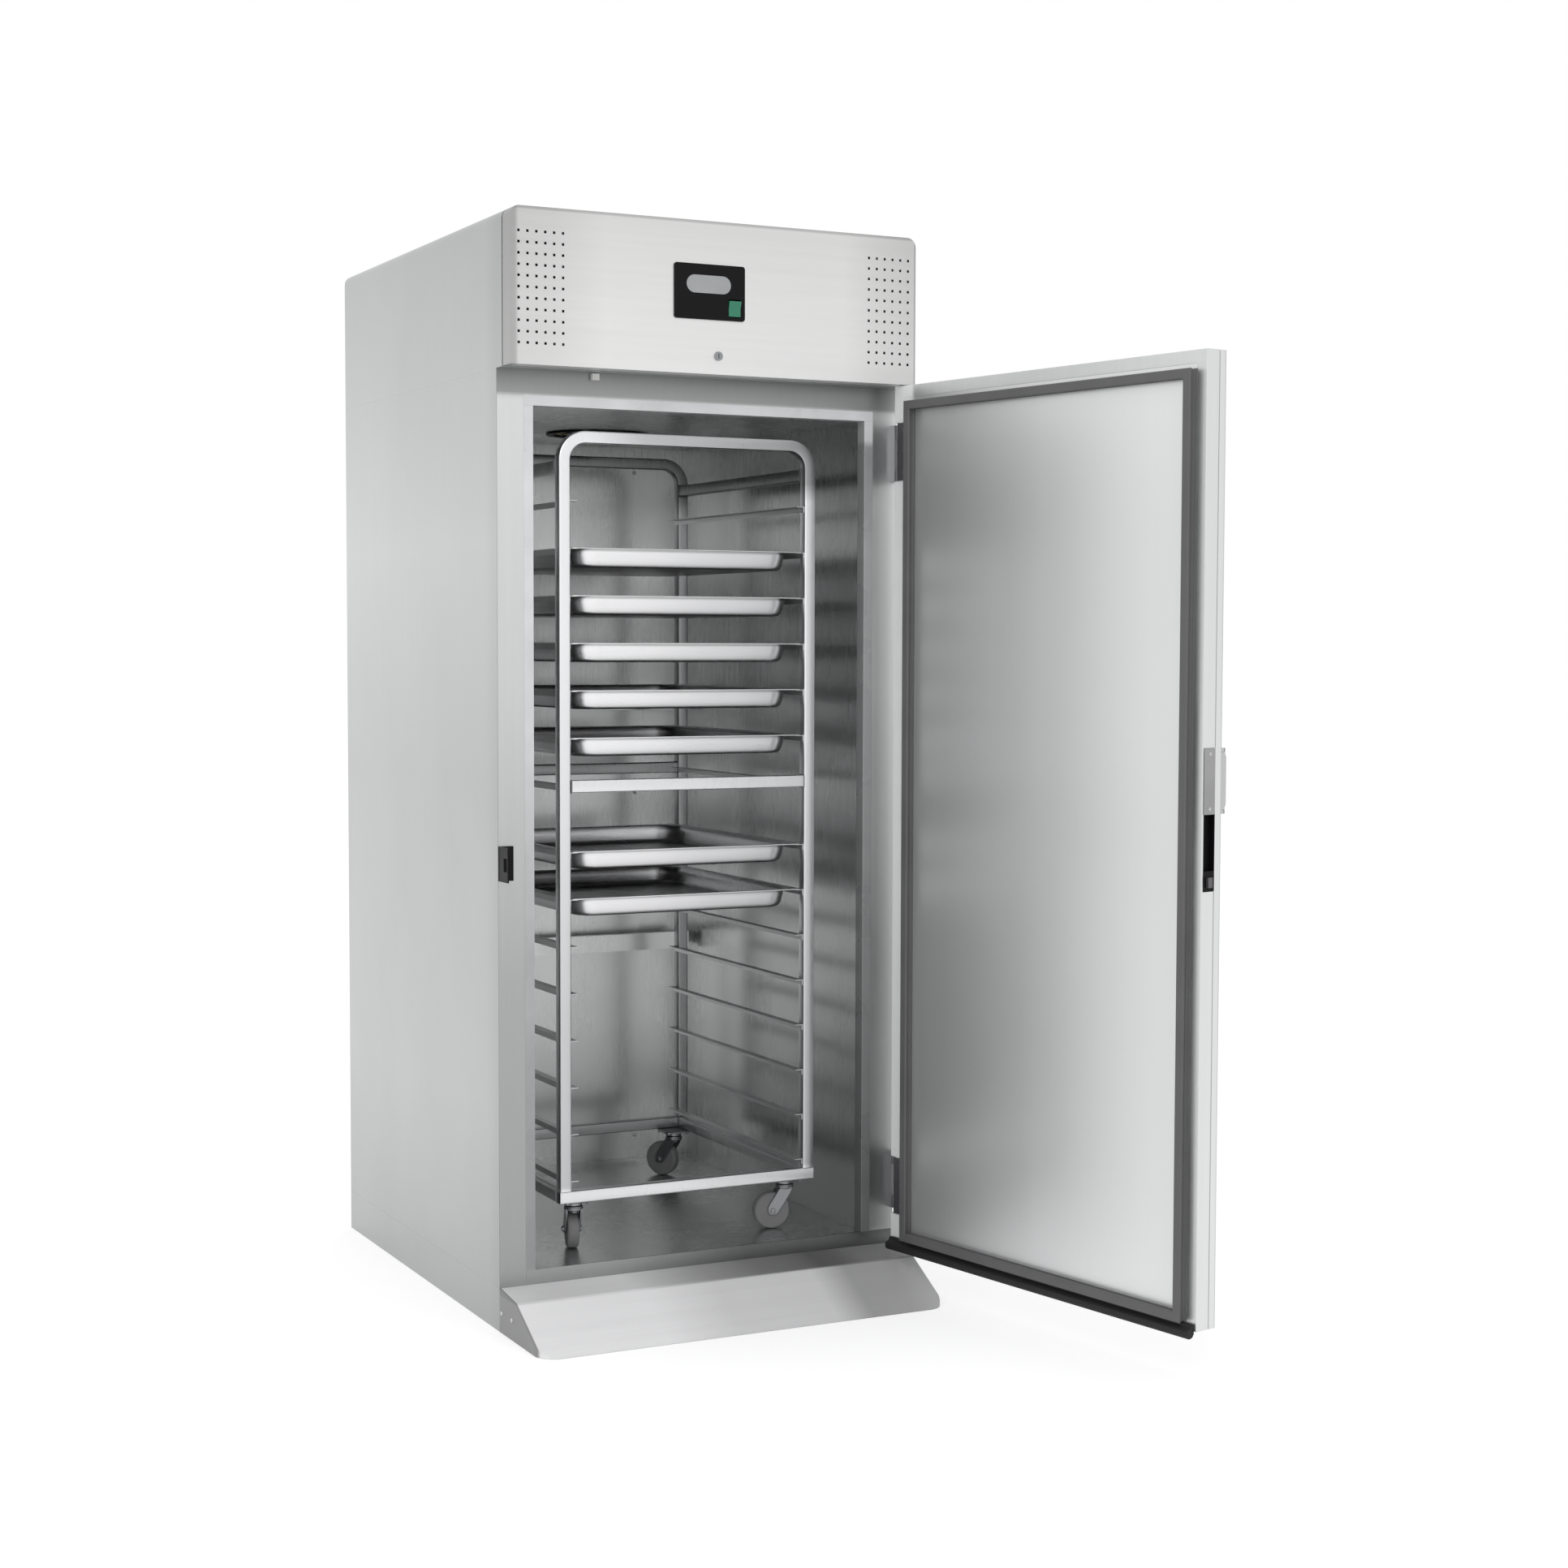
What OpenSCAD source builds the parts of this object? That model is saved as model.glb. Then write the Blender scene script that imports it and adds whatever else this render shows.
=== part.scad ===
// Roll-in upright freezer: insulated cabinet with an entry ramp, a machine housing on top,
// one hinged door and a rolling tray trolley inside. Millimetres, +Z up, +X to the right of a
// person facing the door, +Y to the back. The origin is on the floor, under the middle of the
// cabinet. The door is drawn open, as it stands at rest.

/* [Cabinet] */
// Outer width of the cabinet
cab_w = 900; // [860:1:960]
// Depth of the cabinet, without the door, the fascia and the ramp
cab_d = 1010; // [980:1:1060]
// Height of the insulated body, where the machine housing begins
body_h = 1920; // [1900:1:2000]
// Height of the base tray
base_h = 88; // [70:1:95]
// Height of the inner floor above the ground
floor_z = 118; // [110:1:130]
// Clear width of the chamber and of the door opening
chamber_w = 746; // [730:1:780]
// Thickness of the chamber's top, outer face to lining
roof_t = 70; // [60:1:90]
// Thickness of the back wall, outer face to lining
back_t = 75; // [60:1:90]
// Thickness of the outer sheets
skin_t = 1.2; // [0.8:0.1:2]
// Thickness of the lining sheets
liner_t = 1; // [0.8:0.1:1.5]
// Thickness of the floor plate
floor_t = 2; // [1.5:0.1:4]
// Width of the back panel's folds round the sides
back_fold = 25; // [15:1:40]

/* [Door opening] */
// Thickness of the steel frame round the opening
frame_t = 3; // [2:0.5:5]
// Width of the plastic strip round the opening
breaker_w = 20; // [12:1:30]
// Depth of the plastic strip into the opening
breaker_d = 30; // [20:1:45]

/* [Ramp] */
// Depth of the ramp in front of the cabinet
ramp_d = 235; // [200:1:300]
// Depth of the ramp's nearly level top
ramp_lip = 90; // [60:1:110]
// Height of the fold between the level top and the slope
ramp_fold_h = 78; // [60:1:80]
// Corner radius of the ramp, seen from above
ramp_r = 40; // [20:1:60]
// Plate thickness of the ramp
ramp_t = 2.5; // [2:0.5:4]

/* [Machine housing] */
// Height of the machine housing
housing_h = 306; // [280:1:340]
// Overhang of the housing in front of the body
overhang = 33; // [25:1:33]
// Radius of the housing's upper edges
housing_r = 20; // [10:1:30]
// Sheet thickness of the housing and fascia
housing_t = 1.5; // [1:0.1:2]

/* [Fascia] */
// Distance of the fascia's face in front of the body
fascia_y = 79; // [76:1:90]
// Depth of the fascia pan
fascia_d = 41; // [35:1:41]
// Gap under the fascia, above the door
fascia_gap = 1; // [1:0.5:3]
// Columns of holes in each vent
vent_cols = 6; // [4:1:7]
// Rows of holes in each vent
vent_rows = 11; // [8:1:12]
// Spacing of the vent columns
vent_pitch_x = 18.5; // [16:0.5:19]
// Spacing of the vent rows
vent_pitch_z = 21.5; // [18:0.5:22]
// Width of a vent hole
vent_hole_w = 5; // [4:0.5:12]
// Height of a vent hole
vent_hole_h = 5; // [4:0.5:12]
// Distance of each vent's outer edge from the fascia's end
vent_edge = 15.5; // [10:0.5:20]
// Distance of the vents' lower edge from the fascia's foot
vent_foot = 39.5; // [20:0.5:45]
// Width of the controller's bezel
bezel_w = 156; // [140:1:180]
// Height of the controller's bezel
bezel_h = 110; // [100:1:130]
// Distance of the bezel's middle left of the cabinet's middle
bezel_x = 25; // [0:1:60]
// Height of the bezel's middle above the body's top
bezel_z = 164.5; // [150:0.5:180]
// Radius of the lock's rosette
lock_r = 9; // [7:0.5:12]
// Distance of the lock left of the cabinet's middle
lock_x = 5; // [0:1:20]
// Height of the lock above the body's top
lock_z = 38; // [30:1:50]

/* [Door] */
// Gap between the door's end and the cabinet's side at the latch
door_side_gap = 7; // [5:0.5:12]
// Gap between the door's end and the cabinet's side at the hinges
door_hinge_gap = 4; // [2:0.5:5]
// Thickness of the door
door_t = 50; // [45:1:55]
// Gap between the door's inner face and the body, filled by the gasket
door_gap = 20; // [16:1:24]
// Height of the door's lower edge
door_z = 104; // [100:1:110]
// Gap above the door
door_top_gap = 1; // [1:0.5:3]
// Angle at which the door stands open at rest
door_open = 100.6; // [90:0.1:115]
// Width of the door skin's fold on the inner face
door_fold = 25; // [15:1:25]
// Width of the gasket
gasket_w = 18; // [14:1:22]
// Gasket's clearance to the frame when the door is shut
gasket_gap = 0.5; // [0.3:0.1:1]
// Gasket's distance from the door's upper edge
gasket_top = 34; // [26:1:40]
// Gasket's distance from the door's lower edge
gasket_foot = 14; // [11:1:20]
// Gasket's distance from the door's free end
gasket_end = 25; // [22:1:32]
// Gasket's overlap past the edge of the opening
gasket_land = 5; // [3:1:18]
// Depth of the sweep under the door
sweep_h = 13; // [8:1:14]

/* [Hinges] */
// Height of a hinge
hinge_h = 120; // [90:1:150]
// Middle height of the lower hinge
hinge_low = 228; // [200:1:300]
// Distance of the upper hinge's middle below the body's top
hinge_drop = 138; // [110:1:200]
// Radius of the hinge pins
pin_r = 4.5; // [4:0.5:5]
// Running clearance of the hinge pins
pin_play = 0.06; // [0.02:0.01:0.1]
// Radius of the hinge knuckles
knuckle_r = 8; // [7:0.5:9]
// Distance of the hinge axis from the cabinet's side
axis_inset = 5; // [4:0.5:8]
// Distance of the hinge axis in front of the body
axis_out = 48.5; // [45:0.5:50]

/* [Handle and latch] */
// Height of the handle's middle
handle_z = 1129; // [1000:1:1250]
// Length of the handle
handle_h = 107; // [90:1:145]
// Width of the handle
handle_w = 50; // [40:1:60]
// Distance that the handle stands out of the door's face
handle_out = 14; // [12:0.5:20]
// Width of the finger pocket behind the handle
pocket_w = 85; // [75:1:110]
// Depth of the finger pocket
pocket_d = 25; // [15:1:28]
// Distance of the latch bolt's middle below the handle's middle
latch_drop = 187; // [165:1:200]
// Travel of the latch bolt
latch_travel = 6; // [4:0.5:7]

/* [Trolley] */
// Play of a tray between the trolley's tubes, at each side
tray_play = 2.5; // [1.5:0.5:5]
// Distance of the trays' front behind the trolley's front
tray_inset = 5; // [2:1:10]
// Gap between the trolley's top and the ceiling
trolley_clear = 39; // [30:1:80]
// Distance of the trolley's front behind the cabinet's front
trolley_y = 67; // [60:1:110]
// Side of the trolley's square tube
tube = 25; // [20:1:26]
// Wall of the trolley's tube
tube_t = 1.5; // [1:0.1:2]
// Outer radius of the bends at the trolley's upper corners
bend_r = 60; // [40:1:80]
// Height of the base frame's underside above the inner floor
trolley_base = 110; // [106:1:130]
// Tray levels above the cross rail
upper_levels = 7; // [6:1:8]
// Tray levels below the cross rail
lower_levels = 8; // [5:1:9]
// Height of the lowest tray's rim above the inner floor
first_level = 157; // [155:1:170]
// Distance of the highest tray's rim below the trolley's top
last_level = 139; // [110:1:150]
// Distance between the tray rims next to the cross rail
rail_step = 136; // [132:1:145]
// Distance of the cross rail's underside below the tray rim above it
rail_drop = 15; // [13:1:20]
// Width of a runner's ledge
ledge_w = 17; // [12:1:18]
// Height of a runner's side
ledge_h = 12; // [8:1:16]

/* [Trays] */
// Width of a tray over its rim
tray_w = 529; // [520:1:530]
// Depth of a tray over its rim
tray_d = 650; // [640:1:655]
// Height of a tray
tray_h = 40; // [20:1:65]
// Width of a tray's rim
rim_w = 16; // [14:0.5:18]
// Sheet thickness of a tray
tray_t = 1.2; // [0.8:0.1:1.5]
// Radius of a tray's upright corners
tray_r = 50; // [30:1:60]
// Taper of a tray's sides
tray_taper = 8; // [4:1:14]

/* [Castors] */
// Radius of a castor wheel
wheel_r = 40; // [30:0.5:40]
// Width of a castor wheel
wheel_w = 24; // [18:1:28]
// Distance of the wheel's axle behind the swivel axis
trail = 30; // [24:1:34]
// Distance of the swivel axis from the trolley's sides
castor_inset = 47; // [40:1:60]
// Radius of the swivel pin
swivel_r = 6; // [5:0.5:8]
// Radius of the axle
axle_r = 4; // [3:0.5:6]

/* [Hidden] */
$fn = 48;
// gap of a seated moving piece
seat = 0.3;
// gap between the butted lengths of one welded piece
weld = 0.2;
// length by which a cutting shape passes a face
cut = 1;
// cabinet faces
side_x = cab_w / 2;
front_y = -cab_d / 2;
back_y = cab_d / 2;
wall_x = chamber_w / 2;
chamber_back = back_y - back_t;
ceiling_z = body_h - roof_t;
inner_x = side_x - skin_t;
lining_x = wall_x + liner_t;
breaker_x = wall_x + breaker_w;
breaker_top = ceiling_z + breaker_w;
// housing
top_z = body_h + housing_h;
housing_front = front_y - overhang;
deck_z = body_h + housing_t;
fascia_front = front_y - fascia_y;
fascia_back = fascia_front + fascia_d;
fascia_foot = body_h + fascia_gap;
flap_axis_y = fascia_back - 3;
flap_axis_z = top_z - 7;
flap_ear_x = side_x - housing_r - 6;
flap_pin_r = 2;
flap_play = 0.06;
// door, as it lies when shut
door_x0 = -side_x + door_side_gap;
door_x1 = side_x - door_hinge_gap;
door_y1 = front_y - door_gap;
door_y0 = door_y1 - door_t;
door_top = body_h - door_top_gap;
gasket_x = wall_x + gasket_land;
axis_x = side_x - axis_inset;
axis_y = front_y - axis_out;
hinge_zs = [hinge_low - hinge_h / 2, body_h - hinge_drop - hinge_h / 2];
lug_h = 25;
leaf_t = 3;
notch_x = axis_x - knuckle_r - 3;
notch_y = axis_y - knuckle_r - 2.5;
hinge_block_x = axis_x - knuckle_r - 1;
// controller, from the bezel's middle
display_w = 98;
display_h = 36;
display_x = -2.5;
display_z = 15;
rocker_pin_r = 1.5;
rocker_pin_l = 1.5;
rocker_w = 26;
rocker_h = 34;
rocker_x = 55;
rocker_z = -30;
bezel_out = 3;
bezel_lip = 5;
// latch and handle
latch_z = handle_z - latch_drop;
case_d = 20;
bolt_h = 19;
bolt_t = 11;
bolt_y = door_y1 - 19;
bolt_out = 5.5;
bolt_play = 0.4;
recess_z = latch_z + 21;
striker_gap = 3;
striker_t = 3;
handle_x = door_x0 + 6;
handle_y = door_y0 - 5;
handle_t = 6;
handle_pin_r = 2.5;
handle_lug = 7.5;
pocket_z0 = handle_z - handle_h / 2 - handle_lug;
pocket_z1 = handle_z + handle_h / 2 + handle_lug;
recess_h = pocket_z0 + 2.5 - recess_z;
// trolley
trolley_w = tray_w + 2 * (tray_play + tube);
trolley_d = tray_inset + tray_d + tube;
trolley_x = trolley_w / 2;
trolley_y0 = front_y + trolley_y;
trolley_y1 = trolley_y0 + trolley_d;
trolley_top = ceiling_z - trolley_clear;
base_z = floor_z + trolley_base;
post_top = trolley_top - bend_r;
runner_x = trolley_x - tube;
rim_t = 1.5;
first_z = floor_z + first_level;
last_z = trolley_top - last_level;
level_pitch = (last_z - first_z - rail_step) / (upper_levels + lower_levels - 2);
upper_zs = [for (i = [0 : upper_levels - 1]) last_z - level_pitch * (upper_levels - 1 - i)];
lower_zs = [for (i = [0 : lower_levels - 1]) first_z + level_pitch * (lower_levels - 1 - i)];
rail_z = upper_zs[0] - rail_drop;
tray_y0 = trolley_y0 + tray_inset;
// castors
axle_z = floor_z + seat + wheel_r;
crown_z0 = axle_z + wheel_r + 5;
crown_z1 = crown_z0 + 11;
crown_r = 20;
castor_x = trolley_x - castor_inset;
castor_y0 = trolley_y0 + castor_inset;
castor_y1 = trolley_y1 - castor_inset;
castor_plate = 62;
castor_plate_t = 4;
plate_z = base_z - weld - castor_plate_t;
nut_h = 5;
// machinery on the deck
coil_x = -255;
coil_w = 290;
coil_d = 60;
coil_h = 270;
coil_y = front_y + 20;
fan_r = 98;
fan_hole_r = 105;
fan_axis_z = deck_z + coil_h / 2 + 8;
fan_gap = 8;
fan_shaft = 48;
motor_gap = 62;
motor_l = 50;
evap_x = 300;
evap_y0 = front_y + 445;
evap_y1 = back_y - 50;
evap_h = 230;
evap_wall = 25;
evap_fan_y = evap_y0 + 130;
evap_coil_y0 = evap_fan_y + 120;
evap_coil_y1 = evap_y1 - 95;
evap_fan_r = 92;
evap_hole_r = 100;
slot_x = 230;
duct_x = 250;
duct_y = chamber_back - 18;
slot_y0 = duct_y + 3;
slot_y1 = chamber_back - 2;
compressor_x = 345;
compressor_y = front_y + 325;
stub_x = 30;
stub_y = 100;
discharge_z = 105;
suction_z = 90;
hot_gas_z = 260;
drier_gap = 130;
drier_l = 110;
drier_r = 12;
hot_gas_gap = 60;
liquid_x = 40;
// buffers on the back wall
buffer_low = 522;
buffer_high = 1102;
buffer_zs = [floor_z + buffer_low, floor_z + buffer_high];
buffer_x = 355;
buffer_h = 40;
buffer_t = 20;
buffer_stand = 60;
buffer_y = duct_y - buffer_stand;
// power lead's gland
gland_x = 380;
gland_z = body_h + 40;
gland_r = 5;

// Shared shapes

// A block between its lowest and highest corners
module block(lo, hi) {
    translate(lo) cube(hi - lo);
}

// A rectangle with round corners, made of squares and circles
module round_rect(w, d, r) {
    square([w - 2 * r, d], center = true);
    square([w, d - 2 * r], center = true);
    for (x = [-1, 1], y = [-1, 1])
        translate([x * (w / 2 - r), y * (d / 2 - r)]) circle(r);
}

// A cylinder along X or Y, from a starting point
module rod_x(p, r, l) {
    translate(p) rotate([0, 90, 0]) cylinder(r = r, h = l);
}
module rod_y(p, r, l) {
    translate(p) rotate([-90, 0, 0]) cylinder(r = r, h = l);
}

// A round pipe through a list of points, with a thicker joint at each bend
module pipe(points, r) {
    for (i = [0 : len(points) - 2]) {
        a = points[i];
        run = points[i + 1] - a;
        flat = norm([run.x, run.y]);
        translate(a) rotate([0, atan2(flat, run.z), atan2(run.y, run.x)])
            cylinder(r = r, h = norm(run), $fn = 16);
        if (i > 0) translate(a) sphere(r = r + 0.5, $fn = 16);
    }
}

// Places the door's pieces at their rest angle
module on_door() {
    translate([axis_x, axis_y, 0]) rotate([0, 0, door_open]) translate([-axis_x, -axis_y, 0])
        children();
}

// Cabinet

module base_tray() {
    color("silver") difference() {
        block([-side_x, front_y, 0], [side_x, back_y, base_h]);
        block([-inner_x, front_y + skin_t, skin_t], [inner_x, back_y - skin_t, base_h + cut]);
    }
}

module outer_side(side) {
    x0 = side < 0 ? -side_x : inner_x;
    color("silver") block([x0, front_y, base_h], [x0 + skin_t, back_y - back_fold, body_h]);
}

module outer_back() {
    color("silver") difference() {
        block([-side_x, back_y - back_fold, base_h], [side_x, back_y, body_h]);
        block([-inner_x, back_y - back_fold - cut, base_h - cut], [inner_x, back_y - skin_t, body_h + cut]);
    }
}

module insulation() {
    front = front_y + frame_t;
    behind = front_y + breaker_d;
    back = back_y - skin_t;
    floor_top = floor_z - floor_t;
    color("khaki") {
        // floor slab
        block([-inner_x, front, skin_t], [inner_x, back, floor_top]);
        // side slabs, stepped round the plastic strip
        for (side = [0, 1]) mirror([side, 0, 0]) {
            difference() {
                block([lining_x, front, floor_top], [inner_x, chamber_back + liner_t, ceiling_z + liner_t]);
                block([lining_x - cut, front - cut, floor_z], [breaker_x, behind, breaker_top + cut]);
            }
        }
        // back slab
        block([-inner_x, chamber_back + liner_t, floor_top], [inner_x, back, ceiling_z + liner_t]);
        // roof slab with the fan's hole and the supply slot
        difference() {
            block([-inner_x, front, ceiling_z + liner_t], [inner_x, back, body_h]);
            block([-breaker_x, front - cut, ceiling_z - cut], [breaker_x, behind, breaker_top]);
            ceiling_holes(ceiling_z - cut, body_h + cut);
        }
    }
}

// Holes through the roof for the evaporator's air
module ceiling_holes(z0, z1) {
    translate([0, evap_fan_y, z0]) cylinder(r = evap_hole_r, h = z1 - z0);
    block([-slot_x, slot_y0, z0], [slot_x, slot_y1, z1]);
}

module liner_panels() {
    behind = front_y + breaker_d;
    color("silver") {
        // side and back sheets
        for (side = [0, 1]) mirror([side, 0, 0])
            block([wall_x, behind, floor_z + weld], [lining_x, chamber_back - weld, ceiling_z - weld]);
        block([-lining_x, chamber_back, floor_z + weld], [lining_x, chamber_back + liner_t, ceiling_z - weld]);
        // floor plate
        block([-lining_x, front_y + frame_t, floor_z - floor_t], [lining_x, chamber_back + liner_t, floor_z]);
        // ceiling
        difference() {
            block([-lining_x, behind, ceiling_z], [lining_x, chamber_back + liner_t, ceiling_z + liner_t]);
            ceiling_holes(ceiling_z - cut, ceiling_z + liner_t + cut);
        }
    }
}

module front_frame() {
    y1 = front_y + frame_t;
    color("gainsboro") {
        // head
        block([-inner_x, front_y, breaker_top], [inner_x, y1, body_h]);
        // stiles
        for (side = [0, 1]) mirror([side, 0, 0])
            block([breaker_x + weld, front_y, base_h], [inner_x, y1, breaker_top - weld]);
        // sill
        block([-breaker_x, front_y, base_h], [breaker_x, y1, floor_z]);
    }
}

module breaker_strip() {
    y1 = front_y + breaker_d;
    color("white") {
        for (side = [0, 1]) mirror([side, 0, 0])
            block([wall_x, front_y, floor_z], [breaker_x, y1, ceiling_z - weld]);
        block([-breaker_x, front_y, ceiling_z], [breaker_x, y1, breaker_top]);
    }
}

// Ramp profile in (depth, height), pulled in by the plate's thickness
module ramp_profile(inset) {
    polygon([[0, -inset], [ramp_d - 2 * inset, -inset], [ramp_lip, ramp_fold_h - 1.1 * inset],
        [0, base_h - inset]]);
}

module entry_ramp() {
    ribs = 4;
    bay = (cab_w - 2 * ramp_t) / ribs;
    color("gainsboro") difference() {
        intersection() {
            translate([side_x, front_y, 0]) rotate([90, 0, -90])
                linear_extrude(cab_w) ramp_profile(0);
            translate([0, front_y - ramp_d / 2, 0]) linear_extrude(base_h) {
                square([cab_w - 2 * ramp_r, ramp_d], center = true);
                translate([0, ramp_r / 2]) square([cab_w, ramp_d - ramp_r], center = true);
                for (x = [-1, 1])
                    translate([x * (side_x - ramp_r), -ramp_d / 2 + ramp_r]) circle(ramp_r);
            }
        }
        for (i = [0 : ribs - 1])
            translate([-side_x + ramp_r * 0.4 + i * bay, front_y - ramp_t, 0])
                mirror([0, 1, 0]) rotate([90, 0, 90])
                    linear_extrude(bay - ramp_r * 0.4 + ramp_t)
                        polygon([[0, -cut], [ramp_d - ramp_r, -cut], [ramp_lip, ramp_fold_h - 2 * ramp_t],
                            [0, base_h - 2 * ramp_t]]);
    }
}

// Front outline of the housing, with its two upper corners round
module housing_outline(foot, inset) {
    r = housing_r - inset;
    w = side_x - inset;
    top = top_z - inset;
    translate([-w, foot]) square([2 * w, top - r - foot]);
    translate([-w + r, foot]) square([2 * w - 2 * r, top - foot]);
    for (x = [-1, 1]) translate([x * (w - r), top - r]) circle(r);
}

// Extrudes an XZ outline from one depth to another
module slab_y(y0, y1) {
    translate([0, y1, 0]) rotate([90, 0, 0]) linear_extrude(y1 - y0) children();
}

module housing_shell() {
    color("silver") {
        // wrap over the sides and the top, with the ears and pins that carry the fascia
        difference() {
            slab_y(housing_front, back_y) housing_outline(body_h, 0);
            slab_y(housing_front - cut, back_y + cut) housing_outline(body_h - cut, housing_t);
        }
        for (side = [0, 1]) mirror([side, 0, 0]) {
            block([flap_ear_x, flap_axis_y - 4, flap_axis_z - 4],
                [flap_ear_x + 3, housing_front + 20, top_z - housing_t]);
            rod_x([flap_ear_x - 7, flap_axis_y, flap_axis_z], flap_pin_r, 8);
        }
        // deck
        difference() {
            block([-side_x + housing_t, housing_front, body_h], [side_x - housing_t, back_y, deck_z]);
            ceiling_holes(body_h - cut, deck_z + cut);
        }
    }
}

module rear_grille() {
    y0 = back_y - housing_t;
    slots = 9;
    slot_w = 300;
    slot_h = 9;
    pitch = 24;
    color("silver") difference() {
        slab_y(y0, back_y) housing_outline(deck_z, housing_t + seat);
        for (side = [-1, 1], i = [0 : slots - 1])
            translate([side * side_x / 2 - slot_w / 2, y0 - cut, body_h + 60 + i * pitch])
                cube([slot_w, housing_t + 2 * cut, slot_h]);
        rod_y([gland_x, y0 - cut, gland_z], gland_r + 4, housing_t + 2 * cut);
    }
}

// Air duct: a shallow pan over the supply slot, with outlets along its sides
module air_duct_panel() {
    outlets = 12;
    foot = floor_z + 25;
    pitch = (ceiling_z - foot - 120) / (outlets - 1);
    color("silver") difference() {
        block([-duct_x, duct_y, foot], [duct_x, chamber_back, ceiling_z]);
        block([-duct_x + liner_t, duct_y + liner_t, foot + liner_t],
            [duct_x - liner_t, chamber_back + cut, ceiling_z + cut]);
        for (i = [0 : outlets - 1])
            block([-duct_x - cut, duct_y + 5, foot + 50 + i * pitch],
                [duct_x + cut, duct_y + 13, foot + 90 + i * pitch]);
    }
}

module rear_buffers() {
    bracket = 30;
    color("dimgray") for (z = buffer_zs) {
        union() {
            block([-buffer_x, buffer_y, z], [buffer_x, buffer_y + buffer_t, z + buffer_h]);
            for (side = [0, 1]) mirror([side, 0, 0])
                block([buffer_x - bracket, buffer_y + buffer_t - cut, z + 5],
                    [buffer_x, chamber_back, z + buffer_h - 5]);
        }
    }
}

// Machinery

module compressor() {
    r = 88;
    h = 165;
    foot = 14;
    plate_x = 78;
    plate_y = 110;
    color("black") translate([compressor_x, compressor_y, deck_z]) {
        // shell
        translate([0, 0, foot]) rotate_extrude()
            polygon([[0, 0], [r - 14, 0], [r, 16], [r, h - 50], [r - 10, h - 26], [r - 34, h - 6], [0, h]]);
        // base plate and rubber feet
        translate([-plate_x, -plate_y, foot - 4]) cube([2 * plate_x, 2 * plate_y, 4.5]);
        for (x = [-1, 1], y = [-1, 1])
            translate([x * (plate_x - 18), y * (plate_y - 18), 0]) cylinder(r = 14, h = foot - 4);
        // terminal box
        translate([-r - 18, -32, foot + 45]) cube([34, 64, 55]);
        // stubs for the pipes
        rod_y([-stub_x, -stub_y, discharge_z], 6, 30);
        rod_y([-stub_x, stub_y - 30, suction_z], 8, 30);
    }
}

module condenser_coil() {
    tubes = 6;
    pitch = coil_h / tubes;
    fins = 17;
    fin_pitch = (coil_w - 1) / (fins - 1);
    x0 = coil_x - coil_w / 2;
    color("slategray") {
        translate([x0, coil_y, deck_z]) {
            for (i = [0 : fins - 1]) translate([i * fin_pitch, 0, 0]) cube([1, coil_d, coil_h]);
            for (i = [0 : tubes - 1]) {
                rod_x([-12, coil_d / 2, pitch * (i + 0.5)], 5, coil_w + 18);
            }
            // return bends
            for (i = [0 : tubes - 2]) {
                x = i % 2 == 0 ? -12 : coil_w + 6;
                turn = i % 2 == 0 ? 180 : 0;
                translate([x, coil_d / 2, pitch * (i + 1)]) rotate([90, 0, turn])
                    intersection() {
                        rotate_extrude() translate([pitch / 2, 0]) circle(5, $fn = 24);
                        translate([0, -pitch, -6]) cube([pitch, 2 * pitch, 12]);
                    }
            }
        }
    }
}

module condenser_shroud() {
    y0 = coil_y + coil_d;
    motor_y = y0 + motor_gap;
    color("dimgray") {
        difference() {
            union() {
                block([coil_x - coil_w / 2, y0 + seat, deck_z], [coil_x + coil_w / 2, y0 + 4, deck_z + coil_h]);
                rod_y([coil_x, y0 + 2, fan_axis_z], fan_hole_r + 3, 30);
            }
            rod_y([coil_x, y0 - cut, fan_axis_z], fan_hole_r, 40);
        }
        // motor on two struts
        difference() {
            union() {
                rod_y([coil_x, motor_y, fan_axis_z], 32, motor_l);
                block([coil_x - fan_hole_r - 25, motor_y + 8, fan_axis_z - 8],
                    [coil_x + fan_hole_r + 25, motor_y + 12, fan_axis_z + 8]);
                for (x = [-1, 1]) translate([coil_x + x * (fan_hole_r + 22), y0 + 4, fan_axis_z - 8])
                    translate([x < 0 ? -3 : 0, 0, 0]) cube([3, motor_y + 12 - y0 - 4, 16]);
            }
            rod_y([coil_x, motor_y - cut, fan_axis_z], 4 + flap_play, 30);
        }
    }
}

// A fan rotor about its own Z axis: hub, blades and shaft
module fan_rotor(r, shaft_l) {
    blades = 5;
    hub_r = r * 0.28;
    depth = 24;
    cylinder(r = hub_r, h = depth);
    for (i = [0 : blades - 1]) rotate([0, 0, i * 360 / blades]) intersection() {
        translate([hub_r - 3, 0, depth / 2]) rotate([32, 0, 0])
            translate([0, -r * 0.3, -1]) cube([r, r * 0.6, 2]);
        cylinder(r = r, h = depth);
    }
    translate([0, 0, depth - 1]) cylinder(r = 4, h = shaft_l + 1);
}

module condenser_fan() {
    y0 = coil_y + coil_d + fan_gap;
    color("black") translate([coil_x, y0, fan_axis_z]) rotate([-90, 0, 0]) fan_rotor(fan_r, fan_shaft);
}

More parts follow.
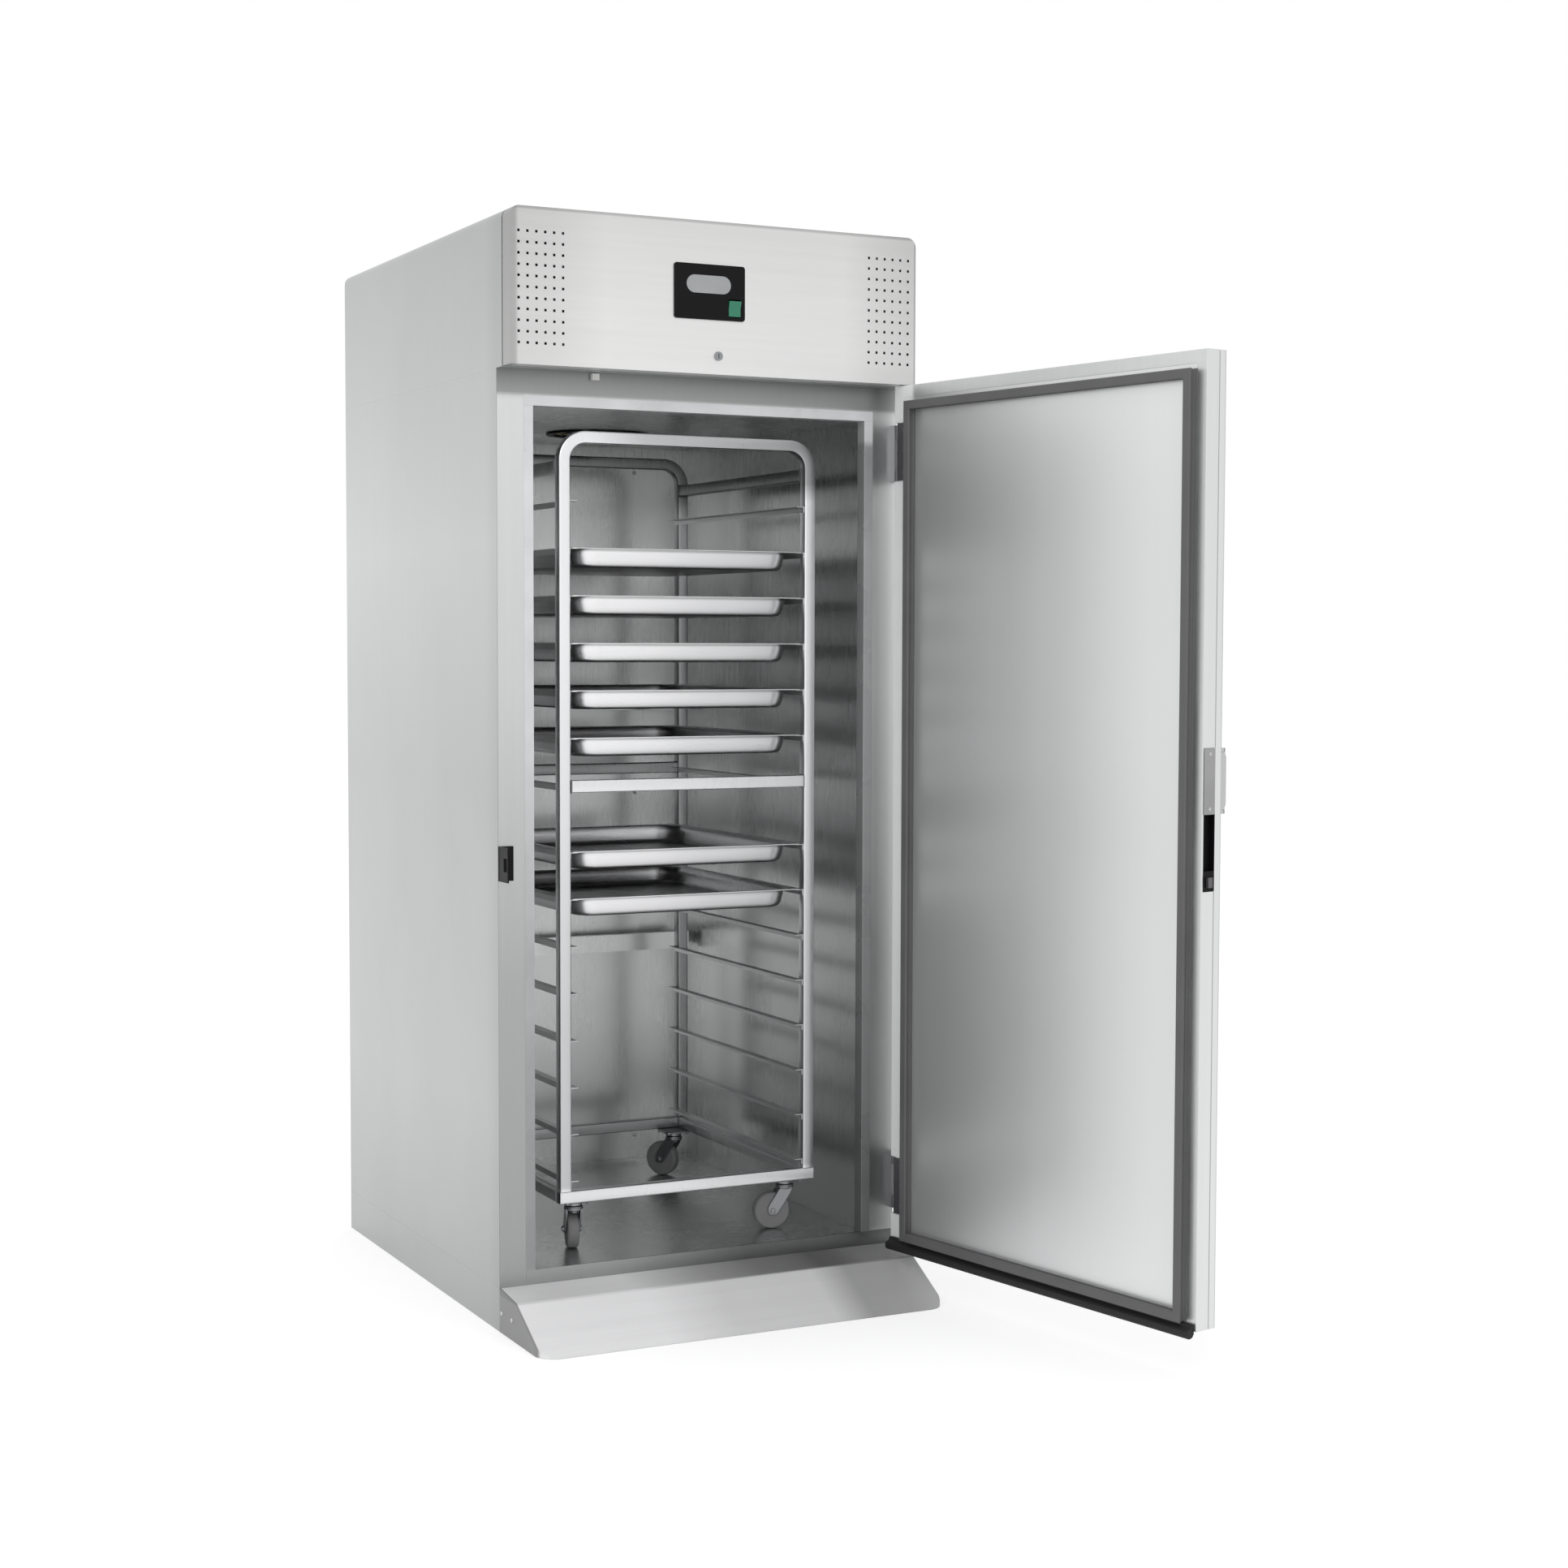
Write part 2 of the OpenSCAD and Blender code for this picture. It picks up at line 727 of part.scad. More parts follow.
module refrigerant_pipes() {
    y = coil_y + coil_d / 2;
    coil_end = coil_x + coil_w / 2 + 6;
    pitch = coil_h / 6;
    pipe_z = deck_z + 60;
    pipe_x = compressor_x - stub_x;
    color("sandybrown") {
        // hot gas from the compressor to the condenser's top
        gas_y = y + hot_gas_gap;
        gas_z = deck_z + hot_gas_z;
        pipe([[pipe_x, compressor_y - stub_y, deck_z + discharge_z], [pipe_x, gas_y, deck_z + discharge_z],
            [pipe_x, gas_y, gas_z], [coil_end + liquid_x / 2, gas_y, gas_z],
            [coil_end + liquid_x / 2, y, deck_z + pitch * 5.5], [coil_end, y, deck_z + pitch * 5.5]], 4);
        // liquid line through the drier to the evaporator
        line_x = coil_end + liquid_x;
        turn_y = evap_y0 - 60;
        pipe([[coil_end, y, deck_z + pitch * 0.5], [line_x, y, deck_z + pitch * 0.5],
            [line_x, y + 90, pipe_z], [line_x, turn_y, pipe_z],
            [line_x, turn_y, deck_z + 100], [line_x, evap_y0, deck_z + 100]], 4);
        rod_y([line_x, y + drier_gap, pipe_z], drier_r, drier_l);
        // suction line back to the compressor
        suction_x = 120;
        back_z = deck_z + 150;
        pipe([[suction_x, evap_y0, back_z], [suction_x, evap_y0 - 10, back_z],
            [suction_x, evap_y0 - 10, deck_z + suction_z], [pipe_x, evap_y0 - 10, deck_z + suction_z],
            [pipe_x, compressor_y + stub_y, deck_z + suction_z]], 6);
    }
}

module evaporator_box() {
    color("whitesmoke") difference() {
        block([-evap_x, evap_y0, deck_z], [evap_x, evap_y1, deck_z + evap_h]);
        block([-evap_x + evap_wall, evap_y0 + evap_wall, deck_z - cut],
            [evap_x - evap_wall, evap_y1 - evap_wall, deck_z + evap_h - evap_wall]);
    }
}

module evaporator_coil() {
    fins = 17;
    w = 2 * (evap_x - evap_wall) - 60;
    pitch = (w - 1) / (fins - 1);
    y0 = evap_coil_y0;
    d = evap_coil_y1 - evap_coil_y0;
    h = 150;
    z0 = deck_z + 25;
    color("lightgray") {
        for (i = [0 : fins - 1]) translate([-w / 2 + i * pitch, y0, z0]) cube([1, d, h]);
        for (row = [0 : 2], col = [0 : 3])
            rod_x([-w / 2 - 15, y0 + d * (col + 0.5) / 4, z0 + h * (row + 0.5) / 3], 5, w + 31);
        // end plates standing on the deck
        for (x = [-w / 2 - 12, w / 2 + 10])
            translate([x, y0, deck_z]) cube([2, d, h + 25]);
    }
}

module evaporator_fan_mount() {
    motor_z = body_h - 12;
    rings = 5;
    color("darkgray") {
        // motor with a cross of arms lying on the deck
        difference() {
            union() {
                translate([0, evap_fan_y, motor_z]) cylinder(r = 32, h = 48);
                for (a = [45, 135]) translate([0, evap_fan_y, deck_z]) rotate([0, 0, a])
                    translate([-evap_hole_r - 15, -9, 0]) cube([2 * evap_hole_r + 30, 18, 3]);
            }
            translate([0, evap_fan_y, motor_z - cut]) cylinder(r = 4 + flap_play, h = 25);
        }
        // guard under the ceiling
        translate([0, evap_fan_y, ceiling_z - 4]) {
            difference() {
                cylinder(r = evap_hole_r + 14, h = 4);
                translate([0, 0, -cut]) cylinder(r = evap_hole_r - 2, h = 4 + 2 * cut);
            }
            for (i = [1 : rings - 1]) difference() {
                cylinder(r = evap_hole_r * i / rings + 1, h = 2);
                translate([0, 0, -cut]) cylinder(r = evap_hole_r * i / rings - 1, h = 2 + 2 * cut);
            }
            for (a = [45, 135]) rotate([0, 0, a]) translate([-evap_hole_r, -1.5, 0])
                cube([2 * evap_hole_r, 3, 3]);
        }
    }
}

module evaporator_fan() {
    color("black") translate([0, evap_fan_y, body_h - 42]) fan_rotor(evap_fan_r, 22);
}

module condensate_tray() {
    x0 = 115;
    x1 = side_x - 40;
    y0 = front_y + 15;
    y1 = y0 + 130;
    h = 45;
    t = 2;
    color("gray") {
        difference() {
            block([x0, y0, deck_z], [x1, y1, deck_z + h]);
            block([x0 + t, y0 + t, deck_z + t], [x1 - t, y1 - t, deck_z + h + cut]);
        }
        // drain hose from the evaporator
        pipe([[200, evap_y0, deck_z + 12], [200, y1 + 14, deck_z + 12], [200, y1 + 14, deck_z + h + 9],
            [200, y1 - 20, deck_z + h + 9]], 7);
    }
}

module electrical_box() {
    color("dimgray") {
        block([-40, front_y + 5, deck_z], [100, front_y + 85, deck_z + 150]);
        block([-30, front_y - 1, deck_z + 10], [90, front_y + 5, deck_z + 140]);
    }
}

module cable_gland() {
    y0 = back_y - housing_t;
    color("black") difference() {
        union() {
            rod_y([gland_x, y0 - 8, gland_z], gland_r + 7, 8);
            rod_y([gland_x, y0 - 1, gland_z], gland_r + 3.9, housing_t + 2);
            rod_y([gland_x, back_y, gland_z], gland_r + 7, 12);
        }
        rod_y([gland_x, y0 - 8 - cut, gland_z], gland_r, housing_t + 20 + 2 * cut);
    }
}

// Door fittings on the cabinet

module door_striker() {
    x0 = -side_x + 0.5;
    lip_x = door_x0 - striker_gap - striker_t;
    half = 34.5;
    color("black") difference() {
        union() {
            block([x0, front_y - 4, latch_z - half], [x0 + 31, front_y, latch_z + half]);
            block([lip_x, front_y - 52, latch_z - half], [lip_x + striker_t, front_y - 3, latch_z + half]);
        }
        block([lip_x - cut, bolt_y - bolt_t / 2 - 4, latch_z - bolt_h / 2 - 4],
            [lip_x + striker_t + cut, bolt_y + bolt_t / 2 + 4, latch_z + bolt_h / 2 + 4]);
    }
}

// One bracket: a block on the stile, two lugs and the pin through them
module hinge_bracket(z0) {
    block_y = front_y - door_gap + 2;
    lug_x = axis_x - knuckle_r + 2;
    union() {
        block([hinge_block_x, block_y, z0], [side_x - 1, front_y, z0 + hinge_h]);
        for (z = [z0, z0 + hinge_h - lug_h]) {
            block([lug_x, axis_y, z], [side_x - 1, block_y + cut, z + lug_h]);
            translate([axis_x, axis_y, z]) cylinder(r = knuckle_r, h = lug_h);
        }
        translate([axis_x, axis_y, z0]) cylinder(r = pin_r, h = hinge_h);
    }
}

module hinge_brackets() {
    color("dimgray") for (z = hinge_zs) hinge_bracket(z);
}

module door_sensor() {
    color("white") block([-250, front_y - 10, body_h - 15], [-235, front_y, body_h - 2]);
}

module cabinet_screws() {
    r = 4.5;
    h = 2.5;
    color("gray") {
        // back panel
        for (x = [-1, 1], z = [base_h + 60 : (body_h - base_h - 120) / 4 : body_h - 59])
            rod_y([x * (side_x - 15), back_y, z], r, h);
        // rear grille
        for (x = [-1, 0, 1], z = [body_h + 16, top_z - 16])
            rod_y([x * (side_x - 30), back_y, z], r, h);
        // air duct
        for (x = [-1, 1], z = [floor_z + 60, floor_z + 900, ceiling_z - 60])
            rod_y([x * (duct_x - 12), duct_y - h, z], r, h);
        // ramp, into the base tray's ends
        for (x = [-side_x - h, side_x], y = [12, 70])
            rod_x([x, front_y - y, 40], r, h);
    }
}

// Door

// The door's block, pulled in from every face
module door_block(inset) {
    block([door_x0 + inset, door_y0 + inset, door_z + inset], [door_x1 - inset, door_y1 - inset, door_top - inset]);
}

// Room for both hinges at the door's end
module hinge_notches(x0) {
    for (z = hinge_zs)
        block([x0, notch_y, z - 1], [door_x1 + cut, door_y1 + cut, z + hinge_h + 1]);
}

// Outer shape of the latch housing's two parts
module latch_body() {
    block([door_x0, door_y1 - 34, latch_z - 17], [door_x0 + case_d, door_y1 - 4, pocket_z0 + 6.5]);
    block([door_x0 + 1.5, door_y0, pocket_z0], [door_x0 + pocket_w, door_y0 + pocket_d + 2, pocket_z1]);
    // end plate beside the pocket
    block([door_x0 - 1.5, door_y0 + 18, pocket_z0], [door_x0 + 3, door_y1 - 4, pocket_z1]);
}

module door_skin() {
    color("gainsboro") on_door() difference() {
        door_block(0);
        door_block(skin_t);
        block([door_x0 + door_fold, door_y1 - skin_t - cut, door_z + door_fold],
            [door_x1 - door_fold, door_y1 + cut, door_top - door_fold]);
        hinge_notches(notch_x - leaf_t);
        latch_body();
    }
}

module door_liner() {
    color("gainsboro") on_door()
        block([door_x0 + door_fold, door_y1 - skin_t, door_z + door_fold],
            [door_x1 - door_fold, door_y1, door_top - door_fold]);
}

module door_core() {
    color("khaki") on_door() difference() {
        door_block(skin_t);
        hinge_notches(notch_x - leaf_t);
        latch_body();
    }
}

module door_gasket() {
    z0 = door_z + gasket_foot;
    z1 = door_top - gasket_top;
    y1 = front_y - gasket_gap;
    x0 = door_x0 + gasket_end;
    color("dimgray") on_door() difference() {
        block([x0, door_y1, z0], [gasket_x + gasket_w, y1, z1]);
        block([x0 + gasket_w, door_y1 - cut, z0 + gasket_w], [gasket_x, y1 + cut, z1 - gasket_w]);
    }
}

module bottom_sweep() {
    z0 = door_z - sweep_h;
    z1 = door_z + gasket_foot - 1;
    y1 = front_y - gasket_gap;
    color("black") on_door() translate([door_x0 + 5, 0, 0]) rotate([90, 0, 90])
        linear_extrude(door_x1 - door_x0 - 10)
            polygon([[door_y1, z0 + 8], [door_y1 + 5, z0 + 1], [y1 - 6, z0], [y1, z0 + 5], [y1, door_z + 3],
                [door_y1 + 8, z1], [door_y1, z1]]);
}

module latch_housing() {
    wall = 2;
    lug_x1 = handle_x + 7;
    color("black") on_door() difference() {
        union() {
            latch_body();
            // lugs and pin that carry the handle
            for (z = [pocket_z0, pocket_z1 - handle_lug + seat])
                block([door_x0 + 1.5, handle_y - 6, z], [lug_x1, door_y0 + 1, z + handle_lug - seat]);
            translate([handle_x, handle_y, pocket_z0]) cylinder(r = handle_pin_r, h = pocket_z1 - pocket_z0);
        }
        // finger pocket, with the pin's part of it left free
        difference() {
            block([door_x0 + 1.5 + wall, door_y0 - cut, pocket_z0 + handle_lug - seat],
                [door_x0 + pocket_w - wall, door_y0 + pocket_d, pocket_z1 - handle_lug + seat]);
            translate([handle_x, handle_y, pocket_z0]) cylinder(r = handle_pin_r, h = pocket_z1 - pocket_z0);
        }
        // dark recess in the door's end
        block([door_x0 - cut, door_y1 - 32, recess_z], [door_x0 + 12, door_y1 - 6, recess_z + recess_h]);
        // the bolt's way
        block([door_x0 - cut, bolt_y - bolt_t / 2 - bolt_play, latch_z - bolt_h / 2 - bolt_play],
            [door_x0 + case_d + cut, bolt_y + bolt_t / 2 + bolt_play, latch_z + bolt_h / 2 + bolt_play]);
    }
}

module latch_bolt() {
    color("silver") on_door()
        block([door_x0 - bolt_out, bolt_y - bolt_t / 2, latch_z - bolt_h / 2],
            [door_x0 + case_d - latch_travel - 1, bolt_y + bolt_t / 2, latch_z + bolt_h / 2]);
}

// A lever on a barrel, with its free end towards the middle of the door
module door_handle() {
    z0 = handle_z - handle_h / 2;
    y0 = door_y0 - handle_out;
    x1 = handle_x + handle_w - 6;
    end_r = 12;
    color("silver") on_door() difference() {
        union() {
            translate([handle_x, handle_y, z0]) cylinder(r = 5, h = handle_h);
            block([handle_x - 5, y0 + handle_t / 2, z0], [handle_x + 5, handle_y, z0 + handle_h]);
            intersection() {
                block([handle_x - 5, y0, z0], [x1, y0 + handle_t, z0 + handle_h]);
                translate([0, y0 + handle_t, 0]) rotate([90, 0, 0]) linear_extrude(handle_t)
                    translate([(handle_x - 5 + x1) / 2, handle_z])
                        round_rect(x1 - handle_x + 5, handle_h, end_r);
            }
        }
        translate([handle_x, handle_y, z0 - cut]) cylinder(r = handle_pin_r + pin_play, h = handle_h + 2 * cut);
    }
}

module hinge_leaf(z0) {
    bz0 = z0 + lug_h + 0.5;
    bz1 = z0 + hinge_h - lug_h - 0.5;
    difference() {
        union() {
            block([notch_x - leaf_t, notch_y, z0], [notch_x, door_y1 + leaf_t, z0 + hinge_h]);
            block([gasket_x + gasket_w + 1, door_y1, z0], [notch_x, door_y1 + leaf_t, z0 + hinge_h]);
            block([notch_x - cut, axis_y - 5, bz0], [axis_x, axis_y + 5, bz1]);
            translate([axis_x, axis_y, bz0]) cylinder(r = knuckle_r, h = bz1 - bz0);
        }
        translate([axis_x, axis_y, z0 - cut]) cylinder(r = pin_r + pin_play, h = hinge_h + 2 * cut);
    }
}

module hinge_leaves() {
    color("dimgray") on_door() for (z = hinge_zs) hinge_leaf(z);
}

// Fascia

module vent(x0) {
    for (c = [0 : vent_cols - 1], r = [0 : vent_rows - 1])
        translate([x0 + c * vent_pitch_x, fascia_front - cut, fascia_foot + vent_foot + r * vent_pitch_z])
            cube([vent_hole_w, housing_t + 2 * cut, vent_hole_h]);
}

module fascia_panel() {
    vent_w = (vent_cols - 1) * vent_pitch_x + vent_hole_w;
    tab_x = flap_ear_x - 5;
    color("gainsboro") difference() {
        union() {
            difference() {
                slab_y(fascia_front, fascia_back) housing_outline(fascia_foot, 0);
                slab_y(fascia_front + housing_t, fascia_back + cut)
                    housing_outline(fascia_foot + housing_t, housing_t);
            }
            // tabs that turn on the housing's pins
            for (side = [0, 1]) mirror([side, 0, 0])
                block([tab_x, flap_axis_y - 5, flap_axis_z - 5], [tab_x + 3, fascia_back - 0.5, top_z - housing_t]);
        }
        for (side = [0, 1]) mirror([side, 0, 0]) {
            rod_x([tab_x - cut, flap_axis_y, flap_axis_z], flap_pin_r + flap_play, 5);
            // slot in the top fold, clear of the housing's ear
            block([flap_ear_x - 1, flap_axis_y - 9, top_z - housing_t - cut],
                [flap_ear_x + 4, fascia_back + cut, top_z + cut]);
        }
        vent(-side_x + vent_edge);
        vent(side_x - vent_edge - vent_w);
        // controller's cut-out
        block([-bezel_x - bezel_w / 2 + bezel_lip, fascia_front - cut, body_h + bezel_z - bezel_h / 2 + bezel_lip],
            [-bezel_x + bezel_w / 2 - bezel_lip, fascia_front + housing_t + cut,
                body_h + bezel_z + bezel_h / 2 - bezel_lip]);
        rod_y([-lock_x, fascia_front - cut, body_h + lock_z], 7 + pin_play, housing_t + 2 * cut);
    }
}

module controller_bezel() {
    color("black") translate([-bezel_x, fascia_front, body_h + bezel_z]) difference() {
        union() {
            rotate([90, 0, 0]) linear_extrude(bezel_out) round_rect(bezel_w, bezel_h, 6);
            block([-bezel_w / 2 + bezel_lip + seat, 0, -bezel_h / 2 + bezel_lip + seat],
                [bezel_w / 2 - bezel_lip - seat, 30, bezel_h / 2 - bezel_lip - seat]);
        }
        translate([display_x, 0, display_z]) rotate([90, 0, 0])
            linear_extrude(bezel_out + cut) round_rect(display_w, display_h, display_h / 2 - 0.01);
        block([rocker_x - rocker_w / 2 - 0.5, -bezel_out - cut, rocker_z - rocker_h / 2 - 1],
            [rocker_x + rocker_w / 2 + 0.5, 14, rocker_z + rocker_h / 2 + 1]);
        rod_x([rocker_x - rocker_w / 2 - rocker_pin_l - 0.5, 0, rocker_z], rocker_pin_r + pin_play,
            rocker_w + 2 * rocker_pin_l + 1);
    }
}

module display_window() {
    color("lightgray") translate([-bezel_x + display_x, fascia_front, body_h + bezel_z + display_z])
        rotate([90, 0, 0]) linear_extrude(bezel_out + 0.3)
            round_rect(display_w - 0.4, display_h - 0.4, display_h / 2 - 0.3);
}

// Rocker with its upper half pressed
module power_rocker() {
    half = rocker_h / 2;
    color("seagreen") translate([-bezel_x + rocker_x, fascia_front, body_h + bezel_z + rocker_z])
        rotate([9, 0, 0]) {
            translate([-rocker_w / 2, 0, 0]) rotate([90, 0, 90]) linear_extrude(rocker_w)
                polygon([[-bezel_out, 0], [-bezel_out - 2.5, half - 1.5], [4, half - 2.5], [10, 6], [10, -6],
                    [4, -half + 2.5], [-bezel_out - 2.5, -half + 1.5]]);
            // pins in the bezel's walls
            rod_x([-rocker_w / 2 - rocker_pin_l, 0, 0], rocker_pin_r, rocker_w + 2 * rocker_pin_l);
        }
}

module key_lock() {
    color("silver") translate([-lock_x, fascia_front, body_h + lock_z]) difference() {
        union() {
            rod_y([0, -3, 0], lock_r, 3);
            rod_y([0, -1, 0], 7, 26);
            block([-6, 19, -6], [6, 22, 24]);
        }
        block([-0.8, -3 - cut, -5], [0.8, 6, 5]);
    }
}

// Trolley

// A square tube along an axis, from its lowest corner
module square_tube(p, l, along) {
    hollow = tube - 2 * tube_t;
    outer = along == "x" ? [l, tube, tube] : along == "y" ? [tube, l, tube] : [tube, tube, l];
    inner = along == "x" ? [l + 2 * cut, hollow, hollow]
        : along == "y" ? [hollow, l + 2 * cut, hollow] : [hollow, hollow, l + 2 * cut];
    shift = along == "x" ? [-cut, tube_t, tube_t]
        : along == "y" ? [tube_t, -cut, tube_t] : [tube_t, tube_t, -cut];
    translate(p) difference() {
        cube(outer);
        translate(shift) cube(inner);
    }
}

// The bend at a frame's upper right corner
module tube_bend(y) {
    translate([trolley_x - bend_r, y + tube, post_top]) rotate([90, 0, 0])
        rotate_extrude(angle = 90) translate([bend_r - tube, 0]) difference() {
            square(tube);
            translate([tube_t, tube_t]) square(tube - 2 * tube_t);
        }
}

// Plate, collar, pin and nut that carry one castor
module castor_seat(p) {
    translate([p.x, p.y, 0]) {
        translate([-castor_plate / 2, -castor_plate / 2, plate_z])
            cube([castor_plate, castor_plate, castor_plate_t]);
        translate([0, 0, crown_z1 + seat]) cylinder(r = 18, h = plate_z - crown_z1 - seat);
        translate([0, 0, crown_z0 - nut_h]) cylinder(r = swivel_r, h = plate_z - crown_z0 + nut_h + 1);
        translate([0, 0, crown_z0 - nut_h]) cylinder(r = swivel_r + 3, h = nut_h - seat);
    }
}

module trolley_frame() {
    rail_l = trolley_w - 2 * tube - 2 * weld;
    side_l = trolley_d - 2 * tube - 2 * weld;
    top_l = trolley_w - 2 * bend_r - 2 * weld;
    post_z = base_z + tube + weld;
    color("gainsboro") {
        for (y = [trolley_y0, trolley_y1 - tube]) {
            for (x = [-trolley_x, trolley_x - tube])
                square_tube([x, y, post_z], post_top - weld - post_z, "z");
            tube_bend(y);
            mirror([1, 0, 0]) tube_bend(y);
            square_tube([-top_l / 2, y, trolley_top - tube], top_l, "x");
            square_tube([-rail_l / 2, y, rail_z], rail_l, "x");
            square_tube([-trolley_x, y, base_z], trolley_w, "x");
        }
        for (x = [-trolley_x, trolley_x - tube], z = [base_z, post_top - tube - 1])
            square_tube([x, trolley_y0 + tube + weld, z], side_l, "y");
        for (x = [-castor_x, castor_x], y = [castor_y0, castor_y1]) castor_seat([x, y]);
    }
}

// Angles welded to the posts; those level with the cross rails end short of them
module tray_runners() {
    t = 1.5;
    color("gainsboro") for (z = concat(upper_zs, lower_zs), side = [0, 1]) {
        ledge_z = z - rim_t - seat;
        short = ledge_z > rail_z - 1 && ledge_z - ledge_h < rail_z + tube + 1;
        inset = short ? tube + seat : 5;
        l = trolley_d - 2 * inset;
        mirror([side, 0, 0]) translate([runner_x, trolley_y0 + inset, ledge_z]) difference() {
            translate([-ledge_w, 0, -ledge_h]) cube([ledge_w, l, ledge_h]);
            translate([-ledge_w - cut, -cut, -ledge_h - cut])
                cube([ledge_w - t + cut, l + 2 * cut, ledge_h - t + cut]);
        }
    }
}

// A tray's tapered block, widest at the top
module tray_body(w, d, r, foot) {
    foot_w = w - 2 * tray_taper;
    foot_d = d - 2 * tray_taper;
    h = foot > 0 ? tray_h - foot + cut : tray_h;
    translate([0, 0, foot]) linear_extrude(h, scale = [w / foot_w, d / foot_d], slices = 1)
        round_rect(foot_w, foot_d, r);
}

// A tray hung by its rim, with the rim's top at a given height
module tray(rim_z) {
    body_w = tray_w - 2 * rim_w;
    body_d = tray_d - 2 * rim_w;
    color("whitesmoke") translate([0, tray_y0 + tray_d / 2, rim_z - tray_h]) difference() {
        union() {
            translate([0, 0, tray_h - rim_t]) linear_extrude(rim_t) round_rect(tray_w, tray_d, 12);
            tray_body(body_w, body_d, tray_r, 0);
        }
        tray_body(body_w - 2 * tray_t, body_d - 2 * tray_t, tray_r - tray_t, tray_t);
    }
}

// Castors, each turned about its swivel axis by an angle; 0 trails to the back
module at_castor(p, turn) {
    translate([p.x, p.y, 0]) rotate([0, 0, turn]) children();
}

module castor_fork(p, turn) {
    plate = 3.5;
    gap = wheel_w / 2 + 1.5;
    color("darkgray") at_castor(p, turn) difference() {
        union() {
            translate([0, 0, crown_z0]) cylinder(r = crown_r, h = crown_z1 - crown_z0);
            for (side = [-1, 1])
                translate([side > 0 ? gap : -gap - plate, 0, 0]) rotate([90, 0, 90]) linear_extrude(plate)
                    polygon([[-9, crown_z0 + 6], [9, crown_z0 + 6], [trail + 12, axle_z + 6],
                        [trail + 8, axle_z - 9], [trail - 8, axle_z - 9], [-9, crown_z0 - 4]]);
            rod_x([-gap - plate - 2, trail, axle_z], axle_r, 2 * (gap + plate) + 4);
        }
        translate([0, 0, crown_z0 - cut]) cylinder(r = swivel_r + pin_play, h = crown_z1 - crown_z0 + 2 * cut);
    }
}

module castor_wheel(p, turn) {
    color("dimgray") at_castor(p, turn) difference() {
        union() {
            rod_x([-wheel_w / 2, trail, axle_z], wheel_r - 3, wheel_w);
            rod_x([-wheel_w / 2 + 3, trail, axle_z], wheel_r, wheel_w - 6);
        }
        for (x = [-wheel_w / 2 - cut, wheel_w / 2 - 4])
            difference() {
                rod_x([x, trail, axle_z], wheel_r - 9, 4 + cut);
                rod_x([x - cut, trail, axle_z], axle_r + 5, 4 + 3 * cut);
            }
        rod_x([-wheel_w / 2 - cut, trail, axle_z], axle_r + pin_play, wheel_w + 2 * cut);
    }
}

castor_fl = [-castor_x, castor_y0];
castor_fr = [castor_x, castor_y0];
castor_rl = [-castor_x, castor_y1];
castor_rr = [castor_x, castor_y1];
turn_fl = -15;
turn_fr = 80;
turn_rl = 150;
turn_rr = 35;

base_tray();
outer_side(-1);  // outer_side_left
outer_side(1);  // outer_side_right
outer_back();
insulation();
liner_panels();
front_frame();
breaker_strip();
entry_ramp();
housing_shell();
rear_grille();
air_duct_panel();
rear_buffers();
compressor();
condenser_coil();
condenser_shroud();
refrigerant_pipes();
evaporator_coil();
evaporator_box();
evaporator_fan_mount();
condensate_tray();
electrical_box();
cable_gland();
door_striker();
hinge_brackets();
door_sensor();
cabinet_screws();
door_skin();
door_liner();
door_core();
door_gasket();
bottom_sweep();
latch_housing();
hinge_leaves();
door_handle();
latch_bolt();
fascia_panel();
controller_bezel();
display_window();
power_rocker();
key_lock();
condenser_fan();
evaporator_fan();
trolley_frame();
tray_runners();
castor_fork(castor_fl, turn_fl);  // castor_fork_fl
castor_fork(castor_fr, turn_fr);  // castor_fork_fr
castor_fork(castor_rl, turn_rl);  // castor_fork_rl
castor_fork(castor_rr, turn_rr);  // castor_fork_rr
castor_wheel(castor_fl, turn_fl);  // castor_wheel_fl
castor_wheel(castor_fr, turn_fr);  // castor_wheel_fr
castor_wheel(castor_rl, turn_rl);  // castor_wheel_rl
castor_wheel(castor_rr, turn_rr);  // castor_wheel_rr
tray(upper_zs[upper_levels - 2]);  // tray_1
tray(upper_zs[upper_levels - 3]);  // tray_2
tray(upper_zs[upper_levels - 4]);  // tray_3
tray(upper_zs[upper_levels - 5]);  // tray_4
tray(upper_zs[upper_levels - 6]);  // tray_5
tray(lower_zs[0]);  // tray_6
tray(lower_zs[1]);  // tray_7
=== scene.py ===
# Looks, light and camera for the roll-in upright freezer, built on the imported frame.
# Metres, in the frame of the CAD model: +Z up, -Y towards a person who faces the door.
import math

import bmesh
import bpy
from mathutils import Matrix, Vector


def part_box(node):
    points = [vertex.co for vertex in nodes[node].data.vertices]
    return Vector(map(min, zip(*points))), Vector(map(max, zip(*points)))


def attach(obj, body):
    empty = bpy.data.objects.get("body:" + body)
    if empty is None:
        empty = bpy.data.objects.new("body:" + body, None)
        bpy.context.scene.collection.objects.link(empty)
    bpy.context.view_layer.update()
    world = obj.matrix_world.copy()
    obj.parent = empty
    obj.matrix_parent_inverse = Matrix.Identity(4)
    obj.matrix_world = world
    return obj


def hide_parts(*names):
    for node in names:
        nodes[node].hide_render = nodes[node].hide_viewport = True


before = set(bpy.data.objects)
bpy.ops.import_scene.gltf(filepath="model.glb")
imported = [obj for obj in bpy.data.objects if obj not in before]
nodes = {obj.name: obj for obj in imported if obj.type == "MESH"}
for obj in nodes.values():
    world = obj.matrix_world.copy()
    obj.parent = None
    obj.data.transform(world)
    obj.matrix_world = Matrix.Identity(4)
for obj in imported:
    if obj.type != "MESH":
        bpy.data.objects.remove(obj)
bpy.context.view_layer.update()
scene = bpy.context.scene

